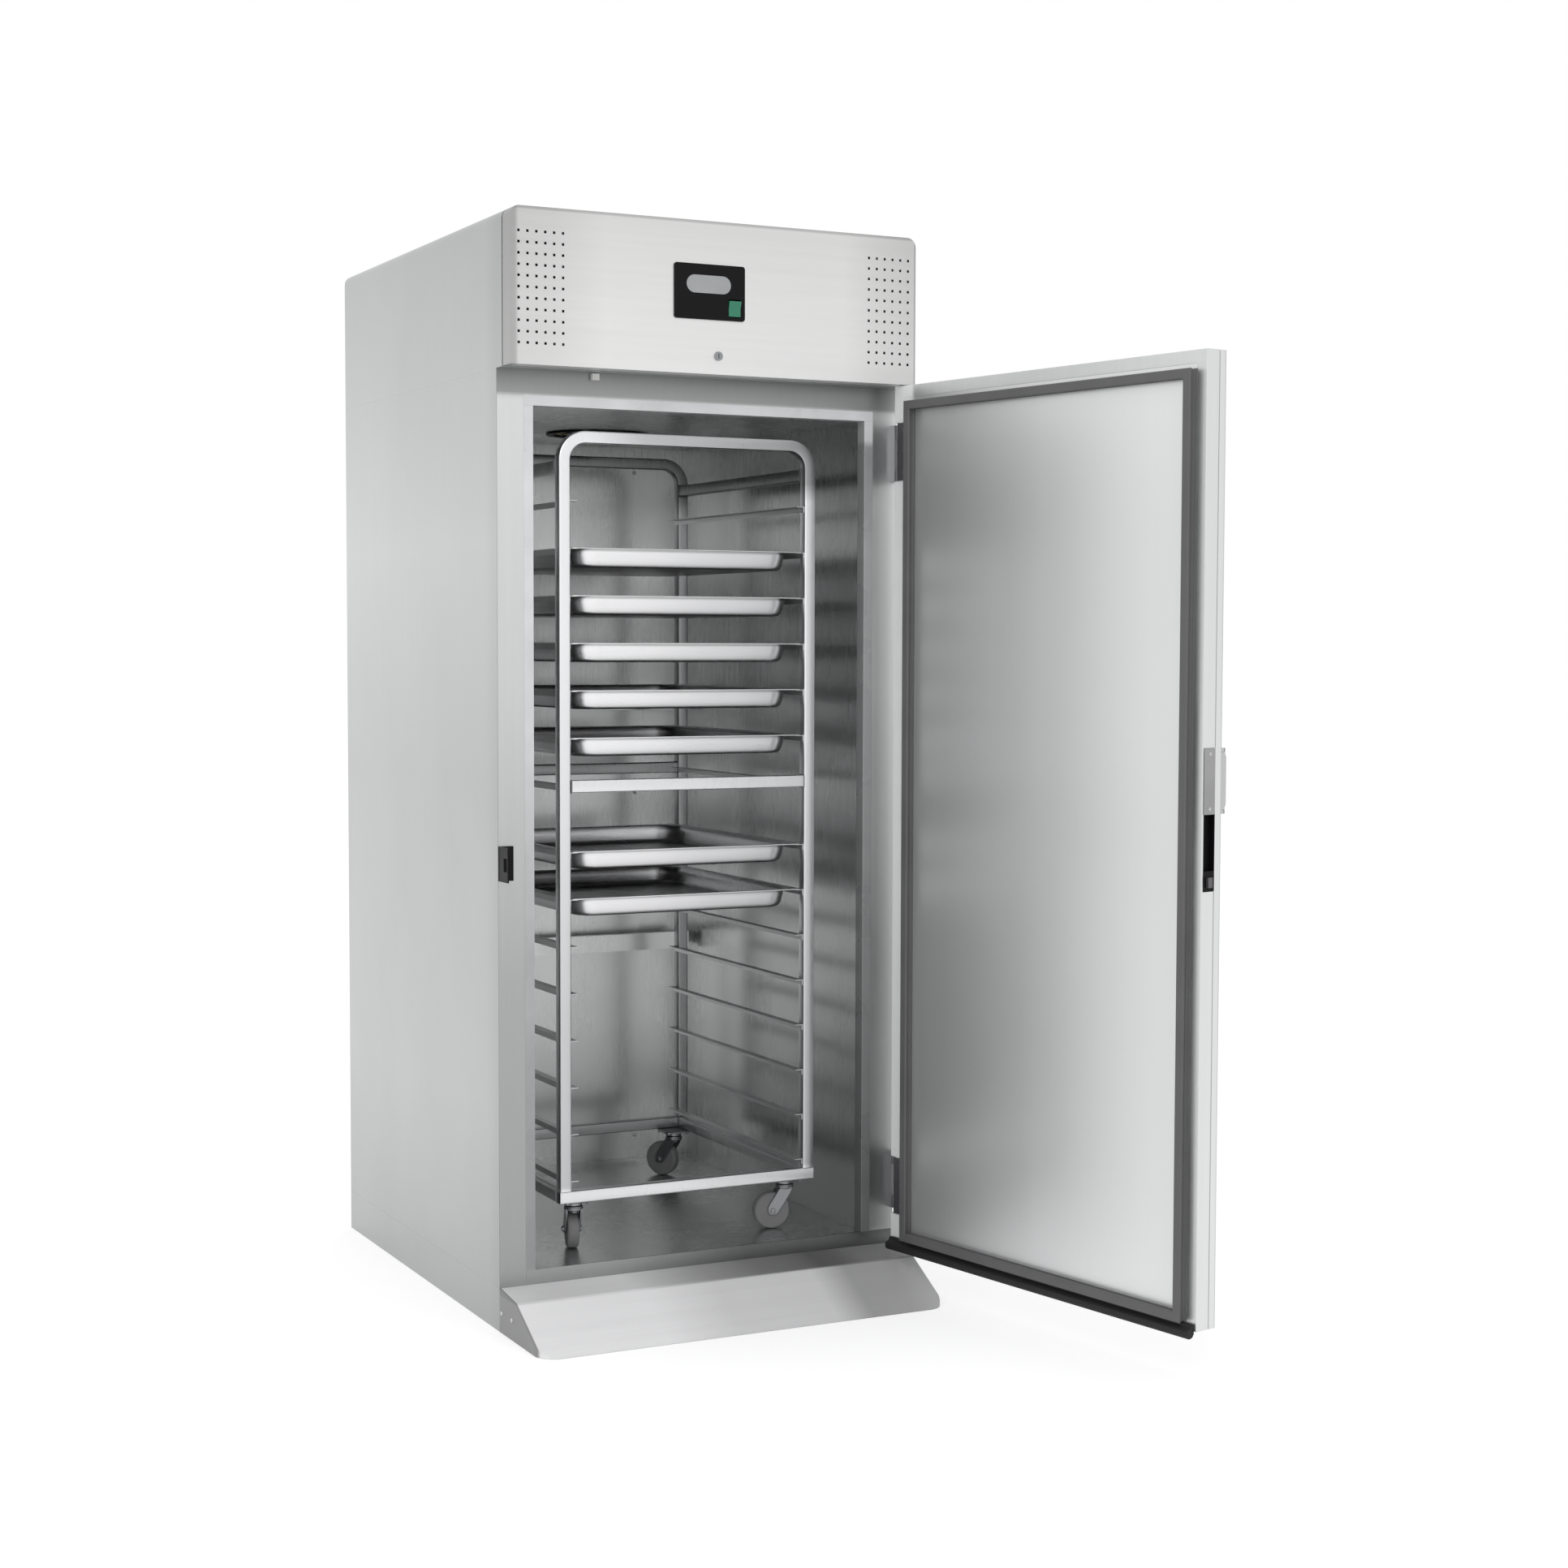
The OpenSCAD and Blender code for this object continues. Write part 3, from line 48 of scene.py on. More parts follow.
# Sizes that the pieces here share with the CAD model
DOOR_ANGLE = math.radians(100.6)
DOOR_AXIS = Vector((0.445, -0.5535, 0.0))
SIDE_X = 0.450
BACK_Y = 0.505
FRONT_Y = -0.505
BASE_H = 0.088
FLOOR_Z = 0.118
BODY_H = 1.920
TOP_Z = 2.226
CEILING_Z = 1.850
DOOR_X0, DOOR_X1 = -0.443, 0.446
DOOR_Y0, DOOR_Y1 = -0.575, -0.525
DOOR_Z0, DOOR_Z1 = 0.104, 1.919
TRAY_NODES = ["tray_%d" % i for i in range(1, 8)]
# Each castor: x and y of its swivel axis, and its turn at rest in degrees
CASTORS = {"fl": (-0.245, -0.391, -15.0), "fr": (0.245, -0.391, 80.0),
           "rl": (-0.245, 0.195, 150.0), "rr": (0.245, 0.195, 35.0)}


# Node helpers

EDGE_SAMPLES = 4


def new_material(name):
    mat = bpy.data.materials.new(name)
    mat.use_nodes = True
    tree = mat.node_tree
    tree.nodes.clear()
    out = tree.nodes.new("ShaderNodeOutputMaterial")
    shader = tree.nodes.new("ShaderNodeBsdfPrincipled")
    tree.links.new(shader.outputs["BSDF"], out.inputs["Surface"])
    return mat, tree, shader


def object_coords(tree, scale):
    coords = tree.nodes.new("ShaderNodeTexCoord")
    mapping = tree.nodes.new("ShaderNodeMapping")
    mapping.inputs["Scale"].default_value = scale
    tree.links.new(coords.outputs["Object"], mapping.inputs["Vector"])
    return mapping.outputs["Vector"]


def noise(tree, scale, detail, rough=0.5):
    node = tree.nodes.new("ShaderNodeTexNoise")
    node.inputs["Scale"].default_value = 1.0
    node.inputs["Detail"].default_value = detail
    node.inputs["Roughness"].default_value = rough
    tree.links.new(object_coords(tree, scale), node.inputs["Vector"])
    return node.outputs["Fac"]


def remap(tree, value, low, high, from_low=0.3, from_high=0.7):
    """Maps one range to another; a noise lies mostly between 0.3 and 0.7."""
    node = tree.nodes.new("ShaderNodeMapRange")
    node.inputs["From Min"].default_value = from_low
    node.inputs["From Max"].default_value = from_high
    node.inputs["To Min"].default_value = low
    node.inputs["To Max"].default_value = high
    tree.links.new(value, node.inputs["Value"])
    return node.outputs["Result"]


def math_node(tree, operation, a, b):
    node = tree.nodes.new("ShaderNodeMath")
    node.operation = operation
    for socket, value in zip(node.inputs, (a, b)):
        if isinstance(value, (int, float)):
            socket.default_value = value
        else:
            tree.links.new(value, socket)
    return node.outputs["Value"]


def tinted(tree, colour, factor):
    """A colour times a grey factor that varies over the surface."""
    node = tree.nodes.new("ShaderNodeMix")
    node.data_type = "RGBA"
    node.blend_type = "MULTIPLY"
    node.inputs["Factor"].default_value = 1.0
    node.inputs["A"].default_value = (*colour, 1.0)
    tree.links.new(factor, node.inputs["B"])
    return node.outputs["Result"]


def add_bump(tree, shader, height, strength, distance, radius=0.0):
    """Relief from a height, over edges that look rounded by a radius."""
    bump = tree.nodes.new("ShaderNodeBump")
    bump.inputs["Strength"].default_value = strength
    bump.inputs["Distance"].default_value = distance
    tree.links.new(height, bump.inputs["Height"])
    if radius:
        edge = tree.nodes.new("ShaderNodeBevel")
        edge.samples = EDGE_SAMPLES
        edge.inputs["Radius"].default_value = radius
        tree.links.new(edge.outputs["Normal"], bump.inputs["Normal"])
    tree.links.new(bump.outputs["Normal"], shader.inputs["Normal"])


def along(axis, points, space="Object"):
    """A factor that changes along an axis or a direction: pairs of (place, factor), low to high.

    The places are metres in Object space, and shares of the object's box in Generated space.
    """
    def build(tree):
        coords = tree.nodes.new("ShaderNodeTexCoord")
        if isinstance(axis, str):
            split = tree.nodes.new("ShaderNodeSeparateXYZ")
            tree.links.new(coords.outputs[space], split.inputs["Vector"])
            place_out = split.outputs[axis]
        else:
            dot = tree.nodes.new("ShaderNodeVectorMath")
            dot.operation = "DOT_PRODUCT"
            dot.inputs[1].default_value = axis
            tree.links.new(coords.outputs[space], dot.inputs[0])
            place_out = dot.outputs["Value"]
        low, high = points[0][0], points[-1][0]
        ramp = tree.nodes.new("ShaderNodeValToRGB")
        elements = ramp.color_ramp.elements
        while len(elements) < len(points):
            elements.new(0.5)
        for element, (place, factor) in zip(elements, points):
            element.position = (place - low) / (high - low)
            element.color = (factor, factor, factor, 1.0)
        tree.links.new(remap(tree, place_out, 0.0, 1.0, low, high), ramp.inputs["Fac"])
        return ramp.outputs["Color"]
    return build


def brighter(first, second):
    """The larger of two factors."""
    return lambda tree: math_node(tree, "MAXIMUM", first(tree), second(tree))


def dimmer(first, second):
    """The smaller of two factors."""
    return lambda tree: math_node(tree, "MINIMUM", first(tree), second(tree))


# Scratches and broad streaks of a brushed sheet, by the direction of its grain
GRAIN = {
    "x": ((14.0, 2600.0, 2600.0), (1.2, 70.0, 70.0)),
    "y": ((2600.0, 14.0, 2600.0), (70.0, 1.2, 70.0)),
    "z": ((2600.0, 2600.0, 14.0), (70.0, 70.0, 1.2)),
}
# The steel's scratches: detail of their noise, how far the tone follows them, and their relief
SCRATCH_DETAIL = 2.0
SCRATCH_TONE = 0.8
SCRATCH_STRENGTH = 0.08
SCRATCH_DEPTH = 0.0001
# Smudges of the steel: scale, detail and roughness of their noise
SMUDGE_SCALE = (3.1, 3.1, 2.3)
SMUDGE_DETAIL = 4.0
SMUDGE_ROUGH = 0.6
# Grain and mottle of the plastics, and the mottle's share in roughness and in tone
PEBBLE_SCALE = (1500.0, 1500.0, 1500.0)
PEBBLE_DETAIL = 2.0
PEBBLE_DEPTH = 0.0002
MOTTLE_SCALE = (9.0, 9.0, 9.0)
MOTTLE_DETAIL = 3.0
MOTTLE_ROUGH = 0.06
MOTTLE_TONE = 0.08


def steel(name, colour, rough, grain="z", fine=0.05, broad=0.04, smudge=0.04, radius=0.0, metallic=1.0,
          painted_shades=(), metal_shade=None):
    """Brushed stainless sheet: fine scratches and broad streaks along the grain, and faint smudges."""
    mat, tree, shader = new_material(name)
    scratch_scale, streak_scale = GRAIN[grain]
    scratches = noise(tree, scratch_scale, SCRATCH_DETAIL)
    streaks = noise(tree, streak_scale, SCRATCH_DETAIL)
    smudges = noise(tree, SMUDGE_SCALE, SMUDGE_DETAIL, SMUDGE_ROUGH)
    value = math_node(tree, "ADD", remap(tree, scratches, -fine / 2, fine / 2),
                      remap(tree, streaks, -broad / 2, broad / 2))
    rough_value = math_node(tree, "ADD", math_node(tree, "ADD", value, rough),
                            remap(tree, smudges, -smudge, smudge))
    tree.links.new(rough_value, shader.inputs["Roughness"])
    tone_and_painted_shade = math_node(tree, "ADD", math_node(tree, "MULTIPLY", value, SCRATCH_TONE), 1.0)
    # Painted light and shade, multiplied into the colour's tone
    for shade in painted_shades:
        tone_and_painted_shade = math_node(tree, "MULTIPLY", tone_and_painted_shade, shade(tree))
    tree.links.new(tinted(tree, colour, tone_and_painted_shade), shader.inputs["Base Color"])
    shader.inputs["Metallic"].default_value = metallic
    if metal_shade:
        tree.links.new(metal_shade(tree), shader.inputs["Metallic"])
    add_bump(tree, shader, scratches, SCRATCH_STRENGTH, SCRATCH_DEPTH, radius)
    return mat


def plastic(name, colour, rough, grain=0.06, coat=0.0, painted_shades=(), gloss=0.5):
    """Moulded plastic or rubber with a fine spark-eroded grain."""
    mat, tree, shader = new_material(name)
    pebble = noise(tree, PEBBLE_SCALE, PEBBLE_DETAIL)
    mottle = noise(tree, MOTTLE_SCALE, MOTTLE_DETAIL)
    tree.links.new(remap(tree, mottle, rough - MOTTLE_ROUGH, rough + MOTTLE_ROUGH), shader.inputs["Roughness"])
    tone_and_painted_shade = remap(tree, mottle, 1.0 - MOTTLE_TONE, 1.0 + MOTTLE_TONE)
    # Painted light and shade, multiplied into the colour's tone
    for shade in painted_shades:
        tone_and_painted_shade = math_node(tree, "MULTIPLY", tone_and_painted_shade, shade(tree))
    tree.links.new(tinted(tree, colour, tone_and_painted_shade), shader.inputs["Base Color"])
    shader.inputs["Specular IOR Level"].default_value = gloss
    if coat:
        shader.inputs["Coat Weight"].default_value = coat
    add_bump(tree, shader, pebble, grain, PEBBLE_DEPTH)
    return mat


# Materials

# The grey factors in this section were set one by one. They imitate the studio's soft light and the reflections
# of its surroundings, and are no trait of the steel. They depend only on the place on a piece.

# Radius of the soft edge that the shader gives to folded sheets
EDGE_R = 0.002

# Painted light and shade on the sides: brightest at three quarters of their height, darker near the floor and
# towards the front
SIDE_PAINTED_SHADE = along("Z", [(0.0, 0.62), (0.45, 0.77), (1.10, 0.78), (1.58, 0.92), (2.23, 0.70)])
DEPTH_PAINTED_SHADE = along("Y", [(-0.60, 0.84), (-0.50, 0.86), (-0.44, 0.94), (0.20, 1.0), (0.51, 1.05)])
cabinet_steel = steel("cabinet_steel", (0.67, 0.68, 0.68), 0.38, "z", painted_shades=(SIDE_PAINTED_SHADE, DEPTH_PAINTED_SHADE),
                      radius=EDGE_R)
# Painted shade on the fascia: its edges are darker than its face, which dims towards its top and its ends
FASCIA_PAINTED_SHADE_Z = along("Z", [(1.92, 1.0), (2.0, 0.97), (2.1, 0.92), (2.219, 0.86), (2.222, 0.60), (2.23, 0.60)])
FASCIA_PAINTED_SHADE_X = along("X", [(-0.45, 0.55), (-0.438, 0.58), (-0.434, 0.84), (-0.36, 0.88), (-0.25, 1.0),
                           (0.28, 0.99), (0.36, 0.88), (0.445, 0.80), (0.448, 0.50), (0.452, 0.50)])
fascia_steel = steel("fascia_steel", (0.78, 0.78, 0.775), 0.42, "x", radius=EDGE_R,
                     painted_shades=(FASCIA_PAINTED_SHADE_Z, FASCIA_PAINTED_SHADE_X))
# Painted shade on the frame: its head stands under the fascia and is painted darker, its stiles are darker
# below, and its sill is darker to the right; a painted highlight lightens the right stile
FRAME_PAINTED_SHADE_Z = along("Z", [(0.0, 0.50), (0.70, 0.58), (1.30, 0.88), (1.866, 1.0), (1.874, 0.48), (1.92, 0.32)])
FRAME_PAINTED_LIGHT_X = along("X", [(-0.36, 1.0), (0.36, 1.0), (0.45, 1.12)])
SILL_PAINTED_SHADE = brighter(along("Z", [(0.1182, 0.0), (0.119, 1.0)]),
                      along("X", [(-0.40, 1.0), (-0.20, 0.90), (0.10, 0.42), (0.45, 0.34)]))
frame_steel = steel("frame_steel", (0.68, 0.69, 0.69), 0.36, "z", painted_shades=(FRAME_PAINTED_SHADE_Z, FRAME_PAINTED_LIGHT_X, SILL_PAINTED_SHADE))
# Less light reaches the lining near the ceiling, near the floor and on the right
LINING_PAINTED_SHADE_Z = along("Z", [(0.11, 0.80), (0.30, 0.86), (0.60, 0.93), (1.20, 1.0), (1.60, 0.98), (1.75, 0.90),
                          (1.85, 0.70)])
LINING_PAINTED_SHADE_X = along("X", [(-0.38, 1.05), (-0.10, 1.0), (0.25, 0.92), (0.38, 0.84)])
lining_steel = steel("lining_steel", (0.81, 0.82, 0.82), 0.27, "z", fine=0.03, broad=0.02,
                     painted_shades=(LINING_PAINTED_SHADE_Z, LINING_PAINTED_SHADE_X))
# Painted shade: the door's outer face is painted darker than its ends; OUTWARD is the way that it faces at rest
OUTWARD = Vector((math.sin(DOOR_ANGLE), -math.cos(DOOR_ANGLE), 0.0))
OUTER_FACE = OUTWARD.dot(DOOR_AXIS) + DOOR_AXIS.y - DOOR_Y0
OUTER_PAINTED_SHADE_LEVEL = 0.80
OUTER_PAINTED_SHADE = along(OUTWARD, [(OUTER_FACE - 0.003, 1.0), (OUTER_FACE - 0.001, OUTER_PAINTED_SHADE_LEVEL)])
# Painted highlight: the fold on the inner face by the hinges is painted paler and made less metallic, so that
# it shows as a pale, satin strip
FOLD_EDGE = (-0.622, -0.612)
INNER_FACE = (OUTER_FACE - 0.0485, OUTER_FACE - 0.0470)
FOLD_PAINTED_HIGHLIGHT_LEVEL = 1.38
FOLD_METAL = 0.1
FOLD_PAINTED_HIGHLIGHT = dimmer(along("Y", [(FOLD_EDGE[0], 1.0), (FOLD_EDGE[1], FOLD_PAINTED_HIGHLIGHT_LEVEL)]),
                    along(OUTWARD, [(INNER_FACE[0], FOLD_PAINTED_HIGHLIGHT_LEVEL), (INNER_FACE[1], 1.0)]))
FOLD_METAL_SHADE = brighter(along("Y", [(FOLD_EDGE[0], 1.0), (FOLD_EDGE[1], FOLD_METAL)]),
                            along(OUTWARD, [(INNER_FACE[0], FOLD_METAL), (INNER_FACE[1], 1.0)]))
door_steel = steel("door_steel", (0.70, 0.71, 0.71), 0.38, "z", radius=EDGE_R,
                   painted_shades=(OUTER_PAINTED_SHADE, FOLD_PAINTED_HIGHLIGHT), metal_shade=FOLD_METAL_SHADE)
# Painted reflection: the door's inner panel dims towards the hinges, where it would mirror the dark cabinet, up
# to the fold, which is painted paler
PANEL_METAL = 0.60
PANEL_PAINTED_REFLECTION = along("Y", [(-1.43, 0.94), (-1.30, 1.0), (-1.0, 1.0), (-0.86, 0.90), (-0.72, 0.74),
                          (-0.65, 0.70), (FOLD_EDGE[0], 0.70), (FOLD_EDGE[1], 1.12), (-0.53, 1.12)])
door_inner_steel = steel("door_inner_steel", (0.87, 0.88, 0.88), 0.32, "z", fine=0.015, broad=0.008,
                         smudge=0.015, metallic=PANEL_METAL, painted_shades=(PANEL_PAINTED_REFLECTION,),
                         metal_shade=along("Y", [(FOLD_EDGE[0], PANEL_METAL), (FOLD_EDGE[1], FOLD_METAL)]))
# Painted shade and painted reflections on the ramp: its left edge is dark and its right part dim; its flat top
# has a painted shade of its own besides
SLOPE_PAINTED_SHADE = along("X", [(-0.4485, 0.30), (-0.446, 0.95), (-0.18, 1.0), (-0.02, 0.78), (0.20, 0.76),
                          (0.28, 0.42), (0.44, 0.50)])
LIP_PAINTED_SHADE = brighter(along("Z", [(0.075, 1.0), (0.0785, 0.0), (0.088, 0.0)]),
                     along("X", [(-0.45, 0.80), (-0.20, 0.90), (-0.05, 0.62), (0.10, 0.34), (0.24, 0.24),
                                 (0.34, 0.60), (0.45, 0.60)]))
ramp_steel = steel("ramp_steel", (0.97, 0.97, 0.98), 0.46, "x", radius=EDGE_R, metallic=0.10,
                   painted_shades=(SLOPE_PAINTED_SHADE, LIP_PAINTED_SHADE))
# Painted shade on the trolley: the top rail is dimmer towards the right, the posts below, and the rear of the
# trolley stands in the dark
RAIL_PAINTED_SHADE = brighter(along("Z", [(1.68, 1.0), (1.75, 0.0), (1.82, 0.0)]),
                      along("X", [(-0.30, 1.0), (-0.22, 0.95), (-0.10, 0.62), (0.20, 0.52), (0.30, 0.40)]))
REAR_PAINTED_SHADE = along("Y", [(-0.44, 1.0), (-0.412, 1.0), (-0.404, 0.70), (0.205, 0.50), (0.25, 0.46)])
POST_PAINTED_SHADE = along("Z", [(0.20, 0.90), (0.256, 0.85), (0.262, 0.60), (0.60, 0.66), (1.10, 0.90), (1.40, 1.0)])
tube_steel = steel("tube_steel", (0.84, 0.85, 0.86), 0.30, "z", painted_shades=(RAIL_PAINTED_SHADE, REAR_PAINTED_SHADE, POST_PAINTED_SHADE))
runner_steel = steel("runner_steel", (0.58, 0.59, 0.59), 0.34, "y")
# A tray's rim throws a thin painted shadow, and its wall is painted darker towards the bottom
TRAY_PAINTED_SHADOW = along("Z", [(0.0, 0.62), (0.12, 0.78), (0.35, 0.95), (0.80, 1.0), (0.86, 0.72), (0.915, 0.62),
                         (0.925, 1.0), (1.0, 1.0)], "Generated")
tray_steel = steel("tray_steel", (0.80, 0.80, 0.81), 0.30, "x", painted_shades=(TRAY_PAINTED_SHADOW,))
castor_steel = steel("castor_steel", (0.30, 0.31, 0.32), 0.42, "z")
bracket_steel = steel("bracket_steel", (0.34, 0.34, 0.35), 0.42, "z")
handle_steel = steel("handle_steel", (0.52, 0.52, 0.53), 0.42, "z")
screw_steel = steel("screw_steel", (0.58, 0.59, 0.60), 0.30, "z")
seam_steel = steel("seam_steel", (0.38, 0.38, 0.39), 0.5, "z")
dark_steel = steel("dark_steel", (0.14, 0.14, 0.15), 0.42, "z", metallic=0.7)
# Painted shade on the strip: its right leg is dimmer below its top end, its sides in the opening are darker
# than its front, and it darkens towards the floor
LEG_PAINTED_SHADE = brighter(along("X", [(-0.45, 1.0), (0.370, 1.0), (0.374, 0.50), (0.45, 0.45)]),
                     along("Z", [(1.78, 0.0), (1.81, 1.0)]))
JAMB_PAINTED_SHADE = along("Y", [(-0.506, 1.0), (-0.5045, 1.0), (-0.5035, 0.50), (-0.46, 0.42)])
FOOT_PAINTED_SHADE = along("Z", [(0.11, 0.40), (0.50, 0.52), (0.90, 0.70), (1.20, 0.94), (1.50, 1.0)])
white_strip = plastic("white_strip", (0.80, 0.81, 0.82), 0.30, painted_shades=(LEG_PAINTED_SHADE, JAMB_PAINTED_SHADE, FOOT_PAINTED_SHADE))
dark_plastic = plastic("dark_plastic", (0.007, 0.007, 0.008), 0.42, gloss=0.12)
grey_rubber = plastic("grey_rubber", (0.125, 0.125, 0.128), 0.55, grain=0.12)
tyre_rubber = plastic("tyre_rubber", (0.20, 0.20, 0.205), 0.55, grain=0.12)
hub_plastic = plastic("hub_plastic", (0.36, 0.36, 0.37), 0.45)
black_rubber = plastic("black_rubber", (0.020, 0.020, 0.020), 0.6, grain=0.15, gloss=0.3)
white_plastic = plastic("white_plastic", (0.80, 0.80, 0.78), 0.4)
mid_plastic = plastic("mid_plastic", (0.38, 0.38, 0.385), 0.45)
display_glass = plastic("display_glass", (0.36, 0.37, 0.38), 0.16, grain=0.01, coat=0.6)
green_plastic = plastic("green_plastic", (0.01, 0.22, 0.12), 0.25, coat=0.4)
foam = plastic("foam", (0.72, 0.63, 0.38), 0.9, grain=0.3)
copper = steel("copper", (0.72, 0.38, 0.23), 0.30, "z")
fins = steel("fins", (0.70, 0.71, 0.72), 0.35, "z")

LOOKS = {
    "outer_side_left": cabinet_steel, "outer_side_right": cabinet_steel, "outer_back": cabinet_steel,
    "base_tray": cabinet_steel, "insulation": foam, "liner_panels": lining_steel, "front_frame": frame_steel,
    "breaker_strip": white_strip, "entry_ramp": ramp_steel, "housing_shell": cabinet_steel,
    "rear_grille": cabinet_steel, "air_duct_panel": lining_steel, "rear_buffers": lining_steel,
    "compressor": dark_steel, "condenser_coil": fins, "condenser_shroud": dark_steel,
    "refrigerant_pipes": copper, "evaporator_coil": fins, "evaporator_box": white_plastic,
    "evaporator_fan_mount": dark_plastic, "condensate_tray": dark_plastic, "electrical_box": dark_plastic,
    "cable_gland": dark_plastic, "door_striker": dark_plastic, "hinge_brackets": bracket_steel,
    "door_sensor": white_plastic, "cabinet_screws": screw_steel,
    "door_skin": door_steel, "door_liner": door_inner_steel, "door_core": foam, "door_gasket": grey_rubber,
    "bottom_sweep": black_rubber, "latch_housing": dark_plastic, "hinge_leaves": dark_steel,
    "door_handle": handle_steel, "latch_bolt": dark_steel,
    "fascia_panel": fascia_steel, "controller_bezel": dark_plastic, "display_window": display_glass,
    "power_rocker": green_plastic, "key_lock": castor_steel,
    "condenser_fan": dark_plastic, "evaporator_fan": dark_plastic,
    "trolley_frame": tube_steel, "tray_runners": runner_steel,
}
for key in CASTORS:
    LOOKS["castor_fork_" + key] = castor_steel
    LOOKS["castor_wheel_" + key] = tyre_rubber
for name in TRAY_NODES:
    LOOKS[name] = tray_steel
for name, mat in LOOKS.items():
    mesh = nodes[name].data
    mesh.materials.clear()
    mesh.materials.append(mat)


# Mesh helpers

# Sides of turned shapes, from bolts to wheels
HEX = 6
BOLT_STEPS = 16
HEAD_STEPS = 20
ROUND_STEPS = 24
CROWN_STEPS = 40
WHEEL_STEPS = 48
# The largest share of a polygon's side that a round corner takes
CORNER_SHARE = 0.45


def circle(radius, steps):
    """Points of a circle in a plane, anticlockwise."""
    turns = [2 * math.pi * i / steps for i in range(steps)]
    return [(radius * math.cos(turn), radius * math.sin(turn)) for turn in turns]


def rounded_rect(half_w, half_h, radius, steps):
    """Points of a rectangle with round corners, anticlockwise from its right side."""
    points = []
    for corner, (sx, sy) in enumerate(((1, 1), (-1, 1), (-1, -1), (1, -1))):
        for i in range(steps + 1):
            angle = math.pi / 2 * (corner + i / steps)
            points.append((sx * (half_w - radius) + radius * math.cos(angle),
                           sy * (half_h - radius) + radius * math.sin(angle)))
    return points


def round_polygon(points, radius, steps=4):
    """A polygon with its corners rounded."""
    result = []
    count = len(points)
    for i, point in enumerate(points):
        here = Vector(point)
        before = Vector(points[i - 1]) - here
        after = Vector(points[(i + 1) % count]) - here
        cut = min(radius, before.length * CORNER_SHARE, after.length * CORNER_SHARE)
        start = here + before.normalized() * cut
        end = here + after.normalized() * cut
        for k in range(steps + 1):
            t = k / steps
            result.append(tuple((1 - t) ** 2 * start + 2 * t * (1 - t) * here + t ** 2 * end))
    return result


class Shape:
    """Collects surfaces into one mesh."""

    def __init__(self):
        self.verts = []
        self.faces = []
        self.slots = []

    def loft(self, rings, cap_start=True, cap_end=True, slot=0, loop=False):
        """A skin over rings with equal numbers of points, closed round each ring."""
        first = len(self.verts)
        size = len(rings[0])
        for ring in rings:
            self.verts.extend(ring)
        pairs = list(range(len(rings) - 1)) + ([len(rings) - 1] if loop else [])
        for i in pairs:
            j = (i + 1) % len(rings)
            for k in range(size):
                n = (k + 1) % size
                self.faces.append((first + i * size + k, first + i * size + n, first + j * size + n,
                                   first + j * size + k))
                self.slots.append(slot)
        if cap_start and not loop:
            self.faces.append(tuple(first + k for k in reversed(range(size))))
            self.slots.append(slot)
        if cap_end and not loop:
            self.faces.append(tuple(first + (len(rings) - 1) * size + k for k in range(size)))
            self.slots.append(slot)

    def lathe(self, profile, place, steps, slot=0):
        """Turns (radius, height) points about an axis; place maps (x, y, z) of the lathe to the model."""
        rings = [[place @ Vector((x, y, height)) for x, y in circle(radius, steps)]
                 for radius, height in profile]
        self.loft(rings, slot=slot)

    def finish(self, name, mats, body, replaces=(), angle=35.0, bevel=0.0):
        mesh = bpy.data.meshes.new(name)
        mesh.from_pydata([tuple(v) for v in self.verts], [], self.faces)
        for mat in mats:
            mesh.materials.append(mat)
        for polygon, number in zip(mesh.polygons, self.slots):
            polygon.material_index = number
        work = bmesh.new()
        work.from_mesh(mesh)
        bmesh.ops.recalc_face_normals(work, faces=work.faces)
        work.to_mesh(mesh)
        work.free()
        mesh.shade_smooth()
        mesh.set_sharp_from_angle(angle=math.radians(angle))
        obj = bpy.data.objects.new(name, mesh)
        scene.collection.objects.link(obj)
        if bevel:
            soften(obj, bevel)
        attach(obj, body)
        if replaces:
            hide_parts(*replaces)


def soften(obj, width, segments=2, angle=40.0):
    """Rounds an object's sharp edges."""
    modifier = obj.modifiers.new("edges", "BEVEL")
    modifier.width = width
    modifier.segments = segments
    modifier.limit_method = "ANGLE"
    modifier.angle_limit = math.radians(angle)
    modifier.harden_normals = True


# Turns the door from shut, as its sizes are given, to the rest pose
DOOR = (Matrix.Translation(DOOR_AXIS) @ Matrix.Rotation(DOOR_ANGLE, 4, "Z") @ Matrix.Translation(-DOOR_AXIS))
# Turns +Z of a screw to the way it faces
BACKWARD = Matrix.Rotation(math.radians(-90), 4, "X")
FORWARD = Matrix.Rotation(math.radians(90), 4, "X")
RIGHTWARD = Matrix.Rotation(math.radians(90), 4, "Y")
LEFTWARD = Matrix.Rotation(math.radians(-90), 4, "Y")


def slab(shape, low, high, c, place):
    """A plate with chamfers of c on all its edges."""
    (x0, y0, z0), (x1, y1, z1) = low, high
    rings = []
    for z, inset in ((z0, c), (z0 + c, 0.0), (z1 - c, 0.0), (z1, c)):
        outline = [(x0 + inset + c, y0 + inset), (x1 - inset - c, y0 + inset), (x1 - inset, y0 + inset + c),
                   (x1 - inset, y1 - inset - c), (x1 - inset - c, y1 - inset), (x0 + inset + c, y1 - inset),
                   (x0 + inset, y1 - inset - c), (x0 + inset, y0 + inset + c)]
        rings.append([place @ Vector((x, y, z)) for x, y in outline])
    shape.loft(rings)


# Trays: pressed pans with a rolled rim

TRAY_W, TRAY_D, TRAY_H = 0.529, 0.650, 0.040
RIM_W, TRAY_T, TAPER = 0.016, 0.0012, 0.008
TRAY_STEPS = 7

